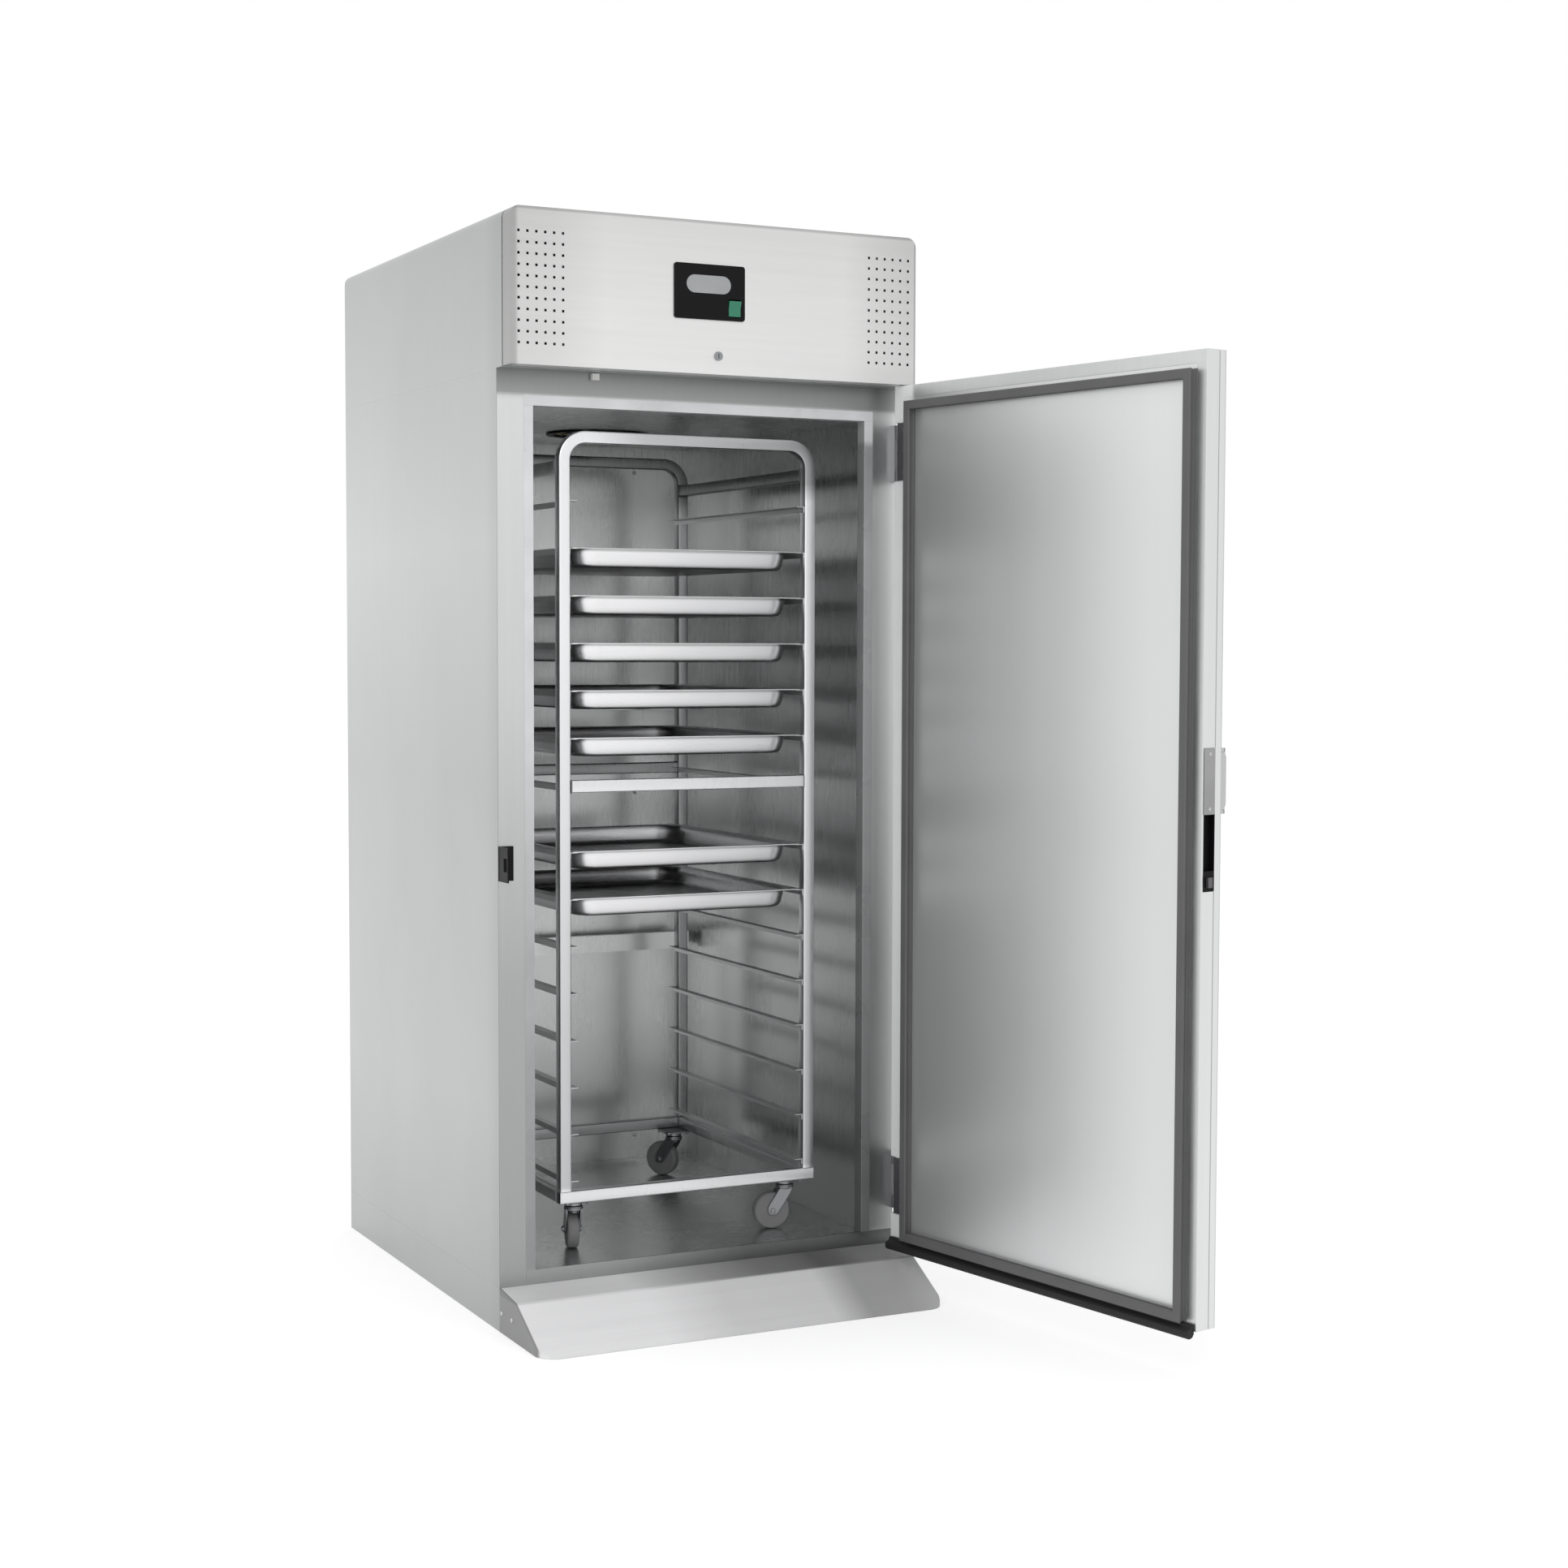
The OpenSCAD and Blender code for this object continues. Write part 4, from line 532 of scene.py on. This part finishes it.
# Rings of the pan's upper skin and of its underside: inset, corner radius, depth below the rim's top
TOPSIDE = [(0.0012, 0.0125, 0.0026), (0.0003, 0.0128, 0.0022), (0.0, 0.013, 0.0013), (0.0004, 0.0126, 0.0004),
           (0.0014, 0.0120, 0.0), (RIM_W - 0.0022, 0.040, 0.0), (RIM_W - 0.0004, 0.046, 0.0008),
           (RIM_W + TRAY_T, 0.0475, 0.0030), (RIM_W + TRAY_T + 0.3 * TAPER, 0.047, 0.0140),
           (RIM_W + TRAY_T + 0.75 * TAPER, 0.046, 0.0310), (RIM_W + TRAY_T + TAPER + 0.0016, 0.044, 0.0358),
           (RIM_W + TRAY_T + TAPER + 0.0060, 0.040, 0.0384), (RIM_W + TAPER + 0.0160, 0.032, TRAY_H - TRAY_T)]
UNDERSIDE = [(RIM_W + TAPER + 0.0160, 0.032, TRAY_H), (RIM_W + TAPER + 0.0058, 0.041, TRAY_H - 0.0004),
             (RIM_W + TAPER + 0.0010, 0.046, 0.0366), (RIM_W + 0.75 * TAPER, 0.047, 0.0312),
             (RIM_W + 0.3 * TAPER, 0.0482, 0.0140), (RIM_W, 0.0487, 0.0034), (RIM_W - 0.0016, 0.046, 0.0014),
             (RIM_W - 0.0030, 0.041, 0.0012), (0.0022, 0.0125, 0.0012)]


def tray(name):
    low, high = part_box(name)
    middle = ((low[0] + high[0]) / 2, (low[1] + high[1]) / 2)
    shape = Shape()
    rings = []
    for inset, radius, depth in TOPSIDE + UNDERSIDE:
        outline = rounded_rect(TRAY_W / 2 - inset, TRAY_D / 2 - inset, radius, TRAY_STEPS)
        rings.append([(middle[0] + x, middle[1] + y, high[2] - depth) for x, y in outline])
    upper = rings[:len(TOPSIDE)]
    under = rings[len(TOPSIDE):]
    shape.loft(upper, cap_start=False, cap_end=True)
    shape.loft(under, cap_start=True, cap_end=False)
    # the rolled rim's edge joins the two skins
    shape.loft([under[-1], upper[0]], cap_start=False, cap_end=False)
    shape.finish(name + "_pan", [tray_steel], name, [name], angle=50.0)


for name in TRAY_NODES:
    tray(name)


# Castors

AXLE_Z = 0.1583
TRAIL = 0.030
WHEEL_R = 0.040
WHEEL_HALF = 0.012
CROWN_Z0, CROWN_Z1 = 0.2033, 0.2143
FORK_GAP = 0.0135
FORK_T = 0.0035
FORK_CHAMFER = 0.0008
LEG_R = 0.007
# Turned shapes as (radius, place along the axis)
TYRE = [(0.0315, -WHEEL_HALF), (0.0365, -WHEEL_HALF), (0.0382, -0.0108), (0.0394, -0.0085), (WHEEL_R, -0.0045),
        (WHEEL_R, 0.0045), (0.0394, 0.0085), (0.0382, 0.0108), (0.0365, WHEEL_HALF), (0.0315, WHEEL_HALF)]
HUB = [(0.0062, -0.0117), (0.0078, -0.0117), (0.0086, -0.0109), (0.0092, -0.0080), (0.0270, -0.0074),
       (0.0296, -0.0102), (0.0312, -0.0112), (0.0317, -0.0090), (0.0317, 0.0090), (0.0312, 0.0112),
       (0.0296, 0.0102), (0.0270, 0.0074), (0.0092, 0.0080), (0.0086, 0.0109), (0.0078, 0.0117),
       (0.0062, 0.0117)]
CROWN = [(0.0070, CROWN_Z0), (0.0165, CROWN_Z0), (0.0190, CROWN_Z0 + 0.0015), (0.0200, CROWN_Z0 + 0.0035),
         (0.0200, CROWN_Z0 + 0.0060), (0.0192, CROWN_Z0 + 0.0067), (0.0192, CROWN_Z0 + 0.0076),
         (0.0198, CROWN_Z0 + 0.0082), (0.0192, CROWN_Z0 + 0.0098), (0.0172, CROWN_Z1), (0.0070, CROWN_Z1)]
WASHER = [(0.0075, -0.0002), (0.0075, 0.0008), (0.0062, 0.0009)]
AXLE_NUT = [(0.0062, 0.0), (0.0062, 0.0030), (0.0054, 0.0038)]
AXLE_END = [(0.0034, 0.0030), (0.0034, 0.0044), (0.0028, 0.0048)]
# A leg of the fork and the arch over the wheel as (place along the trail, height)
LEG = round_polygon([(-0.0130, CROWN_Z0 + 0.0055), (0.0130, CROWN_Z0 + 0.0055),
                     (TRAIL + 0.0120, AXLE_Z + 0.0060), (TRAIL + 0.0085, AXLE_Z - 0.0090),
                     (TRAIL - 0.0085, AXLE_Z - 0.0090), (-0.0100, CROWN_Z0 - 0.0060)], LEG_R)
ARCH = [(-0.0120, CROWN_Z0 + 0.0010), (0.0125, CROWN_Z0 + 0.0010), (0.0125, CROWN_Z0 + 0.0054),
        (-0.0120, CROWN_Z0 + 0.0054)]


def castor_wheel(key, axle):
    wheel = Shape()
    wheel.lathe(TYRE, axle, WHEEL_STEPS)
    wheel.lathe(HUB, axle, WHEEL_STEPS, slot=1)
    wheel.finish("wheel_" + key, [tyre_rubber, hub_plastic], "castor_wheel_" + key, ["castor_wheel_" + key])


def castor_fork(key, swivel):
    fork = Shape()
    fork.lathe(CROWN, swivel, CROWN_STEPS)
    middle = Vector((sum(y for y, z in LEG) / len(LEG), sum(z for y, z in LEG) / len(LEG)))
    for side in (-1, 1):
        rings = []
        for depth, inset in ((0.0, 0.0), (FORK_T - FORK_CHAMFER, 0.0), (FORK_T, FORK_CHAMFER)):
            ring = []
            for point in LEG:
                here = Vector(point)
                y, z = here + (middle - here).normalized() * inset
                ring.append(swivel @ Vector((side * (FORK_GAP + depth), y, z)))
            rings.append(ring)
        fork.loft(rings)
        # axle bolt's head or nut, outside the leg
        nut = swivel @ Matrix.Translation((side * (FORK_GAP + FORK_T), TRAIL, AXLE_Z))
        nut = nut @ Matrix.Rotation(math.radians(90 * side), 4, "Y")
        fork.lathe(WASHER, nut, ROUND_STEPS)
        fork.lathe(AXLE_NUT, nut, HEX)
        fork.lathe(AXLE_END, nut, BOLT_STEPS)
    # arch that joins the legs over the wheel
    fork.loft([[swivel @ Vector((side * (FORK_GAP + FORK_T), y, z)) for y, z in ARCH] for side in (-1, 1)])
    fork.finish("fork_" + key, [castor_steel], "castor_fork_" + key, ["castor_fork_" + key])


for key, (x, y, turn) in CASTORS.items():
    swivel = Matrix.Translation((x, y, 0)) @ Matrix.Rotation(math.radians(turn), 4, "Z")
    castor_wheel(key, swivel @ Matrix.Translation((0, TRAIL, AXLE_Z)) @ RIGHTWARD)
    castor_fork(key, swivel)


# Trolley frame: square tube with round corners, bent at the top

TUBE = 0.025
TUBE_R = 0.003
TUBE_WALL = 0.0015
TUBE_STEPS = 3
TROLLEY_X = 0.292
TROLLEY_Y0, TROLLEY_Y1 = -0.438, 0.242
TROLLEY_TOP = 1.811
BEND_R = 0.060
BEND_STEPS = 12
BASE_Z = 0.228
RAIL_Z = 1.075
POST_TOP = TROLLEY_TOP - BEND_R
TOP_RAIL_DROP = 0.001
# Clearance between tubes that meet
MEET = 0.0002
# Weld round a tube's end as (distance from the end, swell)
WELD = ((0.0, 0.0016), (0.0012, 0.0016), (0.0030, 0.0))


def tube_path(shape, points, side, weld=False):
    """A hollow square tube along points; side is the direction that stays square to the path."""
    half = TUBE / 2
    section = rounded_rect(half, half, TUBE_R, TUBE_STEPS)
    inner = rounded_rect(half - TUBE_WALL, half - TUBE_WALL, TUBE_R - TUBE_WALL, TUBE_STEPS)
    rings, inside = [], []
    for i, point in enumerate(points):
        before = points[i] - points[i - 1] if i else points[1] - points[0]
        after = points[i + 1] - points[i] if i + 1 < len(points) else points[i] - points[i - 1]
        ahead = (before.normalized() + after.normalized()).normalized()
        up = ahead.cross(side).normalized()
        rings.append([point + side * u + up * v for u, v in section])
        inside.append([point + side * u + up * v for u, v in inner])
    shape.loft(rings + inside[::-1], loop=True)
    if weld:
        for end, step in ((0, 1), (-1, -2)):
            way = (points[step] - points[end]).normalized()
            up = way.cross(side).normalized()
            weld_rings = []
            for depth, swell in WELD:
                ring = rounded_rect(half + swell, half + swell, TUBE_R + swell, TUBE_STEPS)
                weld_rings.append([points[end] + way * depth + side * u + up * v for u, v in ring])
            shape.loft(weld_rings, slot=1)


X_AXIS = Vector((1, 0, 0))
Y_AXIS = Vector((0, 1, 0))
tubes = Shape()
line_x = TROLLEY_X - TUBE / 2
turn_r = BEND_R - TUBE / 2
foot_z = BASE_Z + TUBE + MEET
for y in (TROLLEY_Y0 + TUBE / 2, TROLLEY_Y1 - TUBE / 2):
    points = [Vector((-line_x, y, foot_z))]
    for centre_x, start in ((-TROLLEY_X + BEND_R, math.pi), (TROLLEY_X - BEND_R, math.pi / 2)):
        for i in range(BEND_STEPS + 1):
            angle = start - math.pi / 2 * i / BEND_STEPS
            bend_x, bend_z = turn_r * math.cos(angle), turn_r * math.sin(angle)
            points.append(Vector((centre_x + bend_x, y, POST_TOP + bend_z)))
    points.append(Vector((line_x, y, foot_z)))
    tube_path(tubes, points, Y_AXIS)
    for z, reach in ((RAIL_Z + TUBE / 2, TROLLEY_X - TUBE - MEET), (BASE_Z + TUBE / 2, TROLLEY_X)):
        tube_path(tubes, [Vector((-reach, y, z)), Vector((reach, y, z))], Y_AXIS, weld=reach < TROLLEY_X)
for x in (-line_x, line_x):
    for z in (BASE_Z + TUBE / 2, POST_TOP - TUBE / 2 - TOP_RAIL_DROP):
        ends = [Vector((x, TROLLEY_Y0 + TUBE + MEET, z)), Vector((x, TROLLEY_Y1 - TUBE - MEET, z))]
        tube_path(tubes, ends, X_AXIS, weld=True)

# Castor plates with their bolts, and the swivels with their pins and nuts
PLATE_HALF = 0.031
PLATE_R = 0.008
PLATE_STEPS = 4
PLATE_T = 0.004
PLATE_CHAMFER = 0.0006
PLATE_TOP = BASE_Z - MEET
BOLT_REACH = 0.024
PLATE_BOLT = [(0.0045, -0.0034), (0.0054, -0.0028), (0.0054, 0.0002)]
SWIVEL = [(0.0150, CROWN_Z1 + 0.0003), (0.0178, CROWN_Z1 + 0.0012), (0.0180, PLATE_TOP - 0.0050),
          (0.0205, PLATE_TOP - 0.0038)]
PIN = [(0.0052, CROWN_Z0 - 0.0050), (0.0060, CROWN_Z0 - 0.0046), (0.0060, PLATE_TOP - PLATE_T)]
PIN_NUT = [(0.0080, CROWN_Z0 - 0.0050), (0.0090, CROWN_Z0 - 0.0042), (0.0090, CROWN_Z0 - 0.0003)]
for x, y, turn in CASTORS.values():
    rings = []
    for depth, inset in ((PLATE_T, PLATE_CHAMFER), (PLATE_T - PLATE_CHAMFER, 0.0), (PLATE_CHAMFER, 0.0),
                         (0.0, PLATE_CHAMFER)):
        outline = rounded_rect(PLATE_HALF - inset, PLATE_HALF - inset, PLATE_R, PLATE_STEPS)
        rings.append([(x + u, y + v, PLATE_TOP - depth) for u, v in outline])
    tubes.loft(rings, slot=1)
    for sx in (-1, 1):
        for sy in (-1, 1):
            bolt = Matrix.Translation((x + sx * BOLT_REACH, y + sy * BOLT_REACH, PLATE_TOP - PLATE_T))
            tubes.lathe(PLATE_BOLT, bolt, HEX, slot=1)
    place = Matrix.Translation((x, y, 0))
    tubes.lathe(SWIVEL, place, CROWN_STEPS, slot=1)
    tubes.lathe(PIN, place, ROUND_STEPS, slot=1)
    tubes.lathe(PIN_NUT, place, HEX, slot=1)
tubes.finish("trolley_tubes", [tube_steel, castor_steel], "trolley", ["trolley_frame"])


# Door gasket: a bellows and a magnet strip round the door, mitred at its corners

OPENING_X1 = 0.373
GASKET_LAND = 0.005
GASKET_W = 0.018
GASKET_DEEP = 0.0195
# Its outer edges, across and up the door
GASKET_OUT_X = (DOOR_X0 + 0.025, OPENING_X1 + GASKET_LAND + GASKET_W)
GASKET_OUT_Z = (DOOR_Z0 + 0.014, DOOR_Z1 - 0.034)
# Section as (distance in from the outer edge, distance from the door)
SECTION = [(0.0, 0.0), (0.0, 0.0022), (0.0022, 0.0030), (0.0042, 0.0050), (0.0042, 0.0064), (0.0016, 0.0084),
           (0.0016, 0.0096), (0.0040, 0.0112), (0.0040, 0.0122), (0.0006, 0.0136), (0.0, 0.0150), (0.0, 0.0182),
           (0.0013, GASKET_DEEP), (0.0167, GASKET_DEEP), (GASKET_W, 0.0182), (GASKET_W, 0.0150),
           (0.0174, 0.0136), (0.0140, 0.0122), (0.0140, 0.0112), (0.0164, 0.0096), (0.0164, 0.0084),
           (0.0138, 0.0064), (0.0138, 0.0050), (0.0158, 0.0030), (GASKET_W, 0.0022), (GASKET_W, 0.0)]
gasket = Shape()
rings = []
for sx, sz in ((0, 0), (1, 0), (1, 1), (0, 1)):
    in_x = -1 if sx else 1
    in_z = -1 if sz else 1
    rings.append([DOOR @ Vector((GASKET_OUT_X[sx] + in_x * u, DOOR_Y1 + v, GASKET_OUT_Z[sz] + in_z * u))
                  for u, v in SECTION])
gasket.loft(rings, loop=True)
gasket.finish("gasket_bellows", [grey_rubber], "door", ["door_gasket"], angle=25.0)


# Bottom sweep: a rubber blade in its holder

SWEEP_X = (DOOR_X0 + 0.005, DOOR_X1 - 0.005)
SWEEP_Z0, SWEEP_Z1 = DOOR_Z0 - 0.013, DOOR_Z0 + 0.013
# Section as (distance from the door, height)
BLADE = [(0.0, SWEEP_Z0 + 0.008), (0.004, SWEEP_Z0 + 0.002), (0.010, SWEEP_Z0), (0.0145, SWEEP_Z0 + 0.0004),
         (0.0185, SWEEP_Z0 + 0.003), (0.0195, SWEEP_Z0 + 0.007), (0.0192, SWEEP_Z0 + 0.0145),
         (0.0170, SWEEP_Z0 + 0.0165), (0.0120, SWEEP_Z0 + 0.0180), (0.0085, SWEEP_Z1 - 0.0045),
         (0.0080, SWEEP_Z1 - 0.0006), (0.0072, SWEEP_Z1), (0.0, SWEEP_Z1)]
sweep = Shape()
sweep.loft([[DOOR @ Vector((x, DOOR_Y1 + v, z)) for v, z in BLADE] for x in SWEEP_X])
sweep.finish("sweep_blade", [black_rubber], "door", ["bottom_sweep"])


# Door: lugs at the handle's ends, the latch's end plate, the seam of the outer sheet, hinge screws

POCKET_Z = (1.068, 1.190)
LUG_H = 0.0072
LUG_SUNK = 0.0001
LUG_R = 0.004
LUG_X0, LUG_X1 = DOOR_X0 + 0.0012, -0.4298
LUG_Y0, LUG_Y1 = DOOR_Y0 - 0.0112, DOOR_Y0 + 0.0008
lugs = Shape()
outline = round_polygon([(LUG_X0, LUG_Y0), (LUG_X1, LUG_Y0), (LUG_X1, LUG_Y1), (LUG_X0, LUG_Y1)], LUG_R)
for z in (POCKET_Z[0], POCKET_Z[1] - LUG_H):
    lugs.loft([[DOOR @ Vector((x, y, height)) for x, y in outline]
               for height in (z - LUG_SUNK, z + LUG_H + LUG_SUNK)])
lugs.finish("handle_lugs", [handle_steel], "door", bevel=0.0006)

END_PLATE_LOW = (DOOR_X0 - 0.0019, DOOR_Y0 + 0.0176, POCKET_Z[0] - 0.0004)
END_PLATE_HIGH = (DOOR_X0 - 0.0002, DOOR_Y1 - 0.0036, POCKET_Z[1] + 0.0004)
END_PLATE_CHAMFER = 0.0006
END_SCREW_X, END_SCREW_Y = DOOR_X0 - 0.0018, DOOR_Y0 + 0.031
END_SCREW_INSET = 0.010
END_SCREW = [(0.0034, 0.0), (0.0032, 0.0006), (0.0022, 0.0012), (0.0016, 0.0012), (0.0014, 0.0004)]
plate = Shape()
slab(plate, END_PLATE_LOW, END_PLATE_HIGH, END_PLATE_CHAMFER, DOOR)
for z in (POCKET_Z[0] + END_SCREW_INSET, POCKET_Z[1] - END_SCREW_INSET):
    seat = Matrix.Translation((END_SCREW_X, END_SCREW_Y, z))
    plate.lathe(END_SCREW, DOOR @ seat @ LEFTWARD, HEAD_STEPS, slot=1)
plate.finish("latch_end_plate", [mid_plastic, screw_steel], "door")

SEAM_X = (DOOR_X0 - 0.0003, DOOR_X0 + 0.0005)
SEAM_Y = (DOOR_Y0 + 0.0160, DOOR_Y0 + 0.0178)
SEAM_GAP = 0.001
SEAM_CHAMFER = 0.00015
# The seam leaves out the latch housing, from its foot to the pocket's top
LATCH_Z0 = 0.926
seam = Shape()
for z0, z1 in ((DOOR_Z0 + SEAM_GAP, LATCH_Z0), (POCKET_Z[1] + SEAM_GAP, DOOR_Z1 - SEAM_GAP)):
    slab(seam, (SEAM_X[0], SEAM_Y[0], z0), (SEAM_X[1], SEAM_Y[1], z1), SEAM_CHAMFER, DOOR)
seam.finish("door_end_seam", [seam_steel], "door")

# Feet of the two hinge leaves, and heights of the screws over them
HINGE_Z = (0.168, 1.722)
HINGE_SCREW_RISES = (0.018, 0.060, 0.102)
HINGE_SCREW_X = 0.4155
HINGE_LEAF_T = 0.003
HINGE_SCREW = [(0.0042, 0.0), (0.0041, 0.0006), (0.0030, 0.0015), (0.0020, 0.0017), (0.0018, 0.0008)]
hinge_screws = Shape()
for z0 in HINGE_Z:
    for rise in HINGE_SCREW_RISES:
        seat = Matrix.Translation((HINGE_SCREW_X, DOOR_Y1 + HINGE_LEAF_T, z0 + rise))
        hinge_screws.lathe(HINGE_SCREW, DOOR @ seat @ BACKWARD, HEAD_STEPS)
hinge_screws.finish("hinge_screws", [dark_steel], "door")


# Screws with a domed head and a hex socket, at the places of the CAD's plain ones

SCREW_R, SCREW_H = 0.0045, 0.0025
# The head as (radius, height), the socket's reach to its corners, and its floor
DOME = [(SCREW_R, 0.0), (SCREW_R, 0.0005), (0.0043, 0.0012), (0.0037, 0.0019), (0.0028, 0.0024),
        (0.0024, SCREW_H)]
SOCKET_REACH = 0.0017
SOCKET_FLOOR = 0.0010


def screw(shape, place):
    """A screw along the place's +Z, from its seat."""
    rings = [[place @ Vector((x, y, h)) for x, y in circle(r, ROUND_STEPS)] for r, h in DOME]
    hexagon = []
    for i in range(ROUND_STEPS):
        angle = 2 * math.pi * i / ROUND_STEPS
        reach = SOCKET_REACH * math.cos(math.pi / 6) / math.cos((angle % (math.pi / 3)) - math.pi / 6)
        hexagon.append((reach * math.cos(angle), reach * math.sin(angle)))
    for h in (SCREW_H, SOCKET_FLOOR):
        rings.append([place @ Vector((x, y, h)) for x, y in hexagon])
    shape.loft(rings)


# Places of the screws on the back sheet, the rear grille, the air duct and the ramp
SIDE_SCREWS = 5
SIDE_INSET = 0.015
SIDE_MARGIN = 0.060
GRILLE_INSET_X, GRILLE_INSET_Z = 0.030, 0.016
DUCT_X, DUCT_Y = 0.250, 0.412
DUCT_INSET = 0.012
DUCT_SCREW_Z = (FLOOR_Z + 0.060, FLOOR_Z + 0.900, CEILING_Z - 0.060)
RAMP_SCREW_Y = (FRONT_Y - 0.012, FRONT_Y - 0.070)
RAMP_SCREW_Z = 0.040
screws = Shape()
for side in (-1, 1):
    for i in range(SIDE_SCREWS):
        z = BASE_H + SIDE_MARGIN + i * (BODY_H - BASE_H - 2 * SIDE_MARGIN) / (SIDE_SCREWS - 1)
        screw(screws, Matrix.Translation((side * (SIDE_X - SIDE_INSET), BACK_Y, z)) @ BACKWARD)
for x in (-(SIDE_X - GRILLE_INSET_X), 0.0, SIDE_X - GRILLE_INSET_X):
    for z in (BODY_H + GRILLE_INSET_Z, TOP_Z - GRILLE_INSET_Z):
        screw(screws, Matrix.Translation((x, BACK_Y, z)) @ BACKWARD)
for side in (-1, 1):
    for z in DUCT_SCREW_Z:
        screw(screws, Matrix.Translation((side * (DUCT_X - DUCT_INSET), DUCT_Y, z)) @ FORWARD)
for y in RAMP_SCREW_Y:
    screw(screws, Matrix.Translation((-SIDE_X, y, RAMP_SCREW_Z)) @ LEFTWARD)
    screw(screws, Matrix.Translation((SIDE_X, y, RAMP_SCREW_Z)) @ RIGHTWARD)
screws.finish("socket_screws", [screw_steel], "cabinet", ["cabinet_screws"])

# Small round edges on CAD pieces
EDGE_WIDTHS = {
    "door_handle": 0.0014, "hinge_brackets": 0.0012, "hinge_leaves": 0.0008, "controller_bezel": 0.0010,
    "power_rocker": 0.0010, "key_lock": 0.0006, "display_window": 0.0006, "compressor": 0.004,
    "electrical_box": 0.002, "door_striker": 0.0010, "latch_bolt": 0.0008, "cable_gland": 0.0010,
    "condenser_fan": 0.0006, "evaporator_fan": 0.0006, "rear_buffers": 0.0015, "evaporator_box": 0.003,
    "condensate_tray": 0.0006, "door_sensor": 0.001,
}
for name, width in EDGE_WIDTHS.items():
    soften(nodes[name], width)


# Stage: a pale floor that stays nearly white

STAGE_SIZE = 60
STAGE_Z = -0.0005
STAGE_GREY = 0.85
STAGE_GLOW = 0.40
bpy.ops.mesh.primitive_plane_add(size=STAGE_SIZE, location=(0, 0, STAGE_Z))
floor = bpy.context.object
floor.name = "studio_floor"
floor_mat = bpy.data.materials.new("studio_floor")
floor_mat.use_nodes = True
tree = floor_mat.node_tree
tree.nodes.clear()


def seen_ray(tree):
    """1 for camera, glossy and transmission rays, which show the background; 0 for light on the object."""
    path = tree.nodes.new("ShaderNodeLightPath")
    total = math_node(tree, "MAXIMUM", path.outputs["Is Camera Ray"], path.outputs["Is Glossy Ray"])
    return math_node(tree, "MAXIMUM", total, path.outputs["Is Transmission Ray"])


out = tree.nodes.new("ShaderNodeOutputMaterial")
mix = tree.nodes.new("ShaderNodeMixShader")
diffuse = tree.nodes.new("ShaderNodeBsdfDiffuse")
diffuse.inputs["Color"].default_value = (STAGE_GREY, STAGE_GREY, STAGE_GREY, 1)
glow = tree.nodes.new("ShaderNodeEmission")
glow.inputs["Color"].default_value = (1, 1, 1, 1)
glow.inputs["Strength"].default_value = STAGE_GLOW
both = tree.nodes.new("ShaderNodeAddShader")
tree.links.new(diffuse.outputs[0], both.inputs[0])
tree.links.new(glow.outputs[0], both.inputs[1])
tree.links.new(seen_ray(tree), mix.inputs["Fac"])
tree.links.new(diffuse.outputs[0], mix.inputs[1])
tree.links.new(both.outputs[0], mix.inputs[2])
tree.links.new(mix.outputs[0], out.inputs["Surface"])
floor.data.materials.append(floor_mat)

# World: white where it is seen, a plain level for the light on the object
ROOM_LIGHT = 0.75
world = bpy.data.worlds.new("studio")
scene.world = world
world.use_nodes = True
tree = world.node_tree
tree.nodes.clear()
out = tree.nodes.new("ShaderNodeOutputWorld")
mix = tree.nodes.new("ShaderNodeMixShader")
plain = tree.nodes.new("ShaderNodeBackground")
plain.inputs["Color"].default_value = (1, 1, 1, 1)
plain.inputs["Strength"].default_value = 1.0
room = tree.nodes.new("ShaderNodeBackground")
room.inputs["Color"].default_value = (1, 1, 1, 1)
room.inputs["Strength"].default_value = ROOM_LIGHT
tree.links.new(seen_ray(tree), mix.inputs["Fac"])
tree.links.new(room.outputs[0], mix.inputs[1])
tree.links.new(plain.outputs[0], mix.inputs[2])
tree.links.new(mix.outputs[0], out.inputs["Surface"])


# Soft studio lights

def area_light(name, place, target, size, power):
    data = bpy.data.lights.new(name, "AREA")
    data.shape = "RECTANGLE"
    data.size, data.size_y = size
    data.energy = power
    light = bpy.data.objects.new(name, data)
    scene.collection.objects.link(light)
    light.location = place
    direction = Vector(target) - Vector(place)
    light.rotation_euler = direction.to_track_quat("-Z", "Y").to_euler()


area_light("key_light", place=(-2.5, -4.5, 4.0), target=(0, 0, 1.0), size=(3.0, 3.0), power=40)
area_light("top_light", place=(0.0, -0.5, 5.5), target=(0, 0, 0), size=(4.0, 4.0), power=25)

# Camera at the photograph's place: focal length and picture width in pixels, place in metres, turns in radians
FOCAL_PX = 3107.5
IMAGE_PX = 1932.0
SENSOR_MM = 36.0
CAMERA_PLACE = (-2.1788, -5.2227, 1.3818)
PITCH, YAW, ROLL = 0.0559, 0.4645, 0.0026
camera_data = bpy.data.cameras.new("camera")
camera_data.lens = FOCAL_PX / IMAGE_PX * SENSOR_MM
camera_data.sensor_width = SENSOR_MM
camera = bpy.data.objects.new("camera", camera_data)
scene.collection.objects.link(camera)
forward = Vector((math.sin(YAW) * math.cos(PITCH), math.cos(YAW) * math.cos(PITCH), -math.sin(PITCH)))
level_right = Vector((math.cos(YAW), -math.sin(YAW), 0.0))
level_up = level_right.cross(forward)
right_axis = math.cos(ROLL) * level_right + math.sin(ROLL) * level_up
up_axis = -math.sin(ROLL) * level_right + math.cos(ROLL) * level_up
rotation = Matrix((right_axis, up_axis, -forward)).transposed().to_4x4()
camera.matrix_world = Matrix.Translation(CAMERA_PLACE) @ rotation
scene.camera = camera

scene.view_settings.view_transform = "Standard"
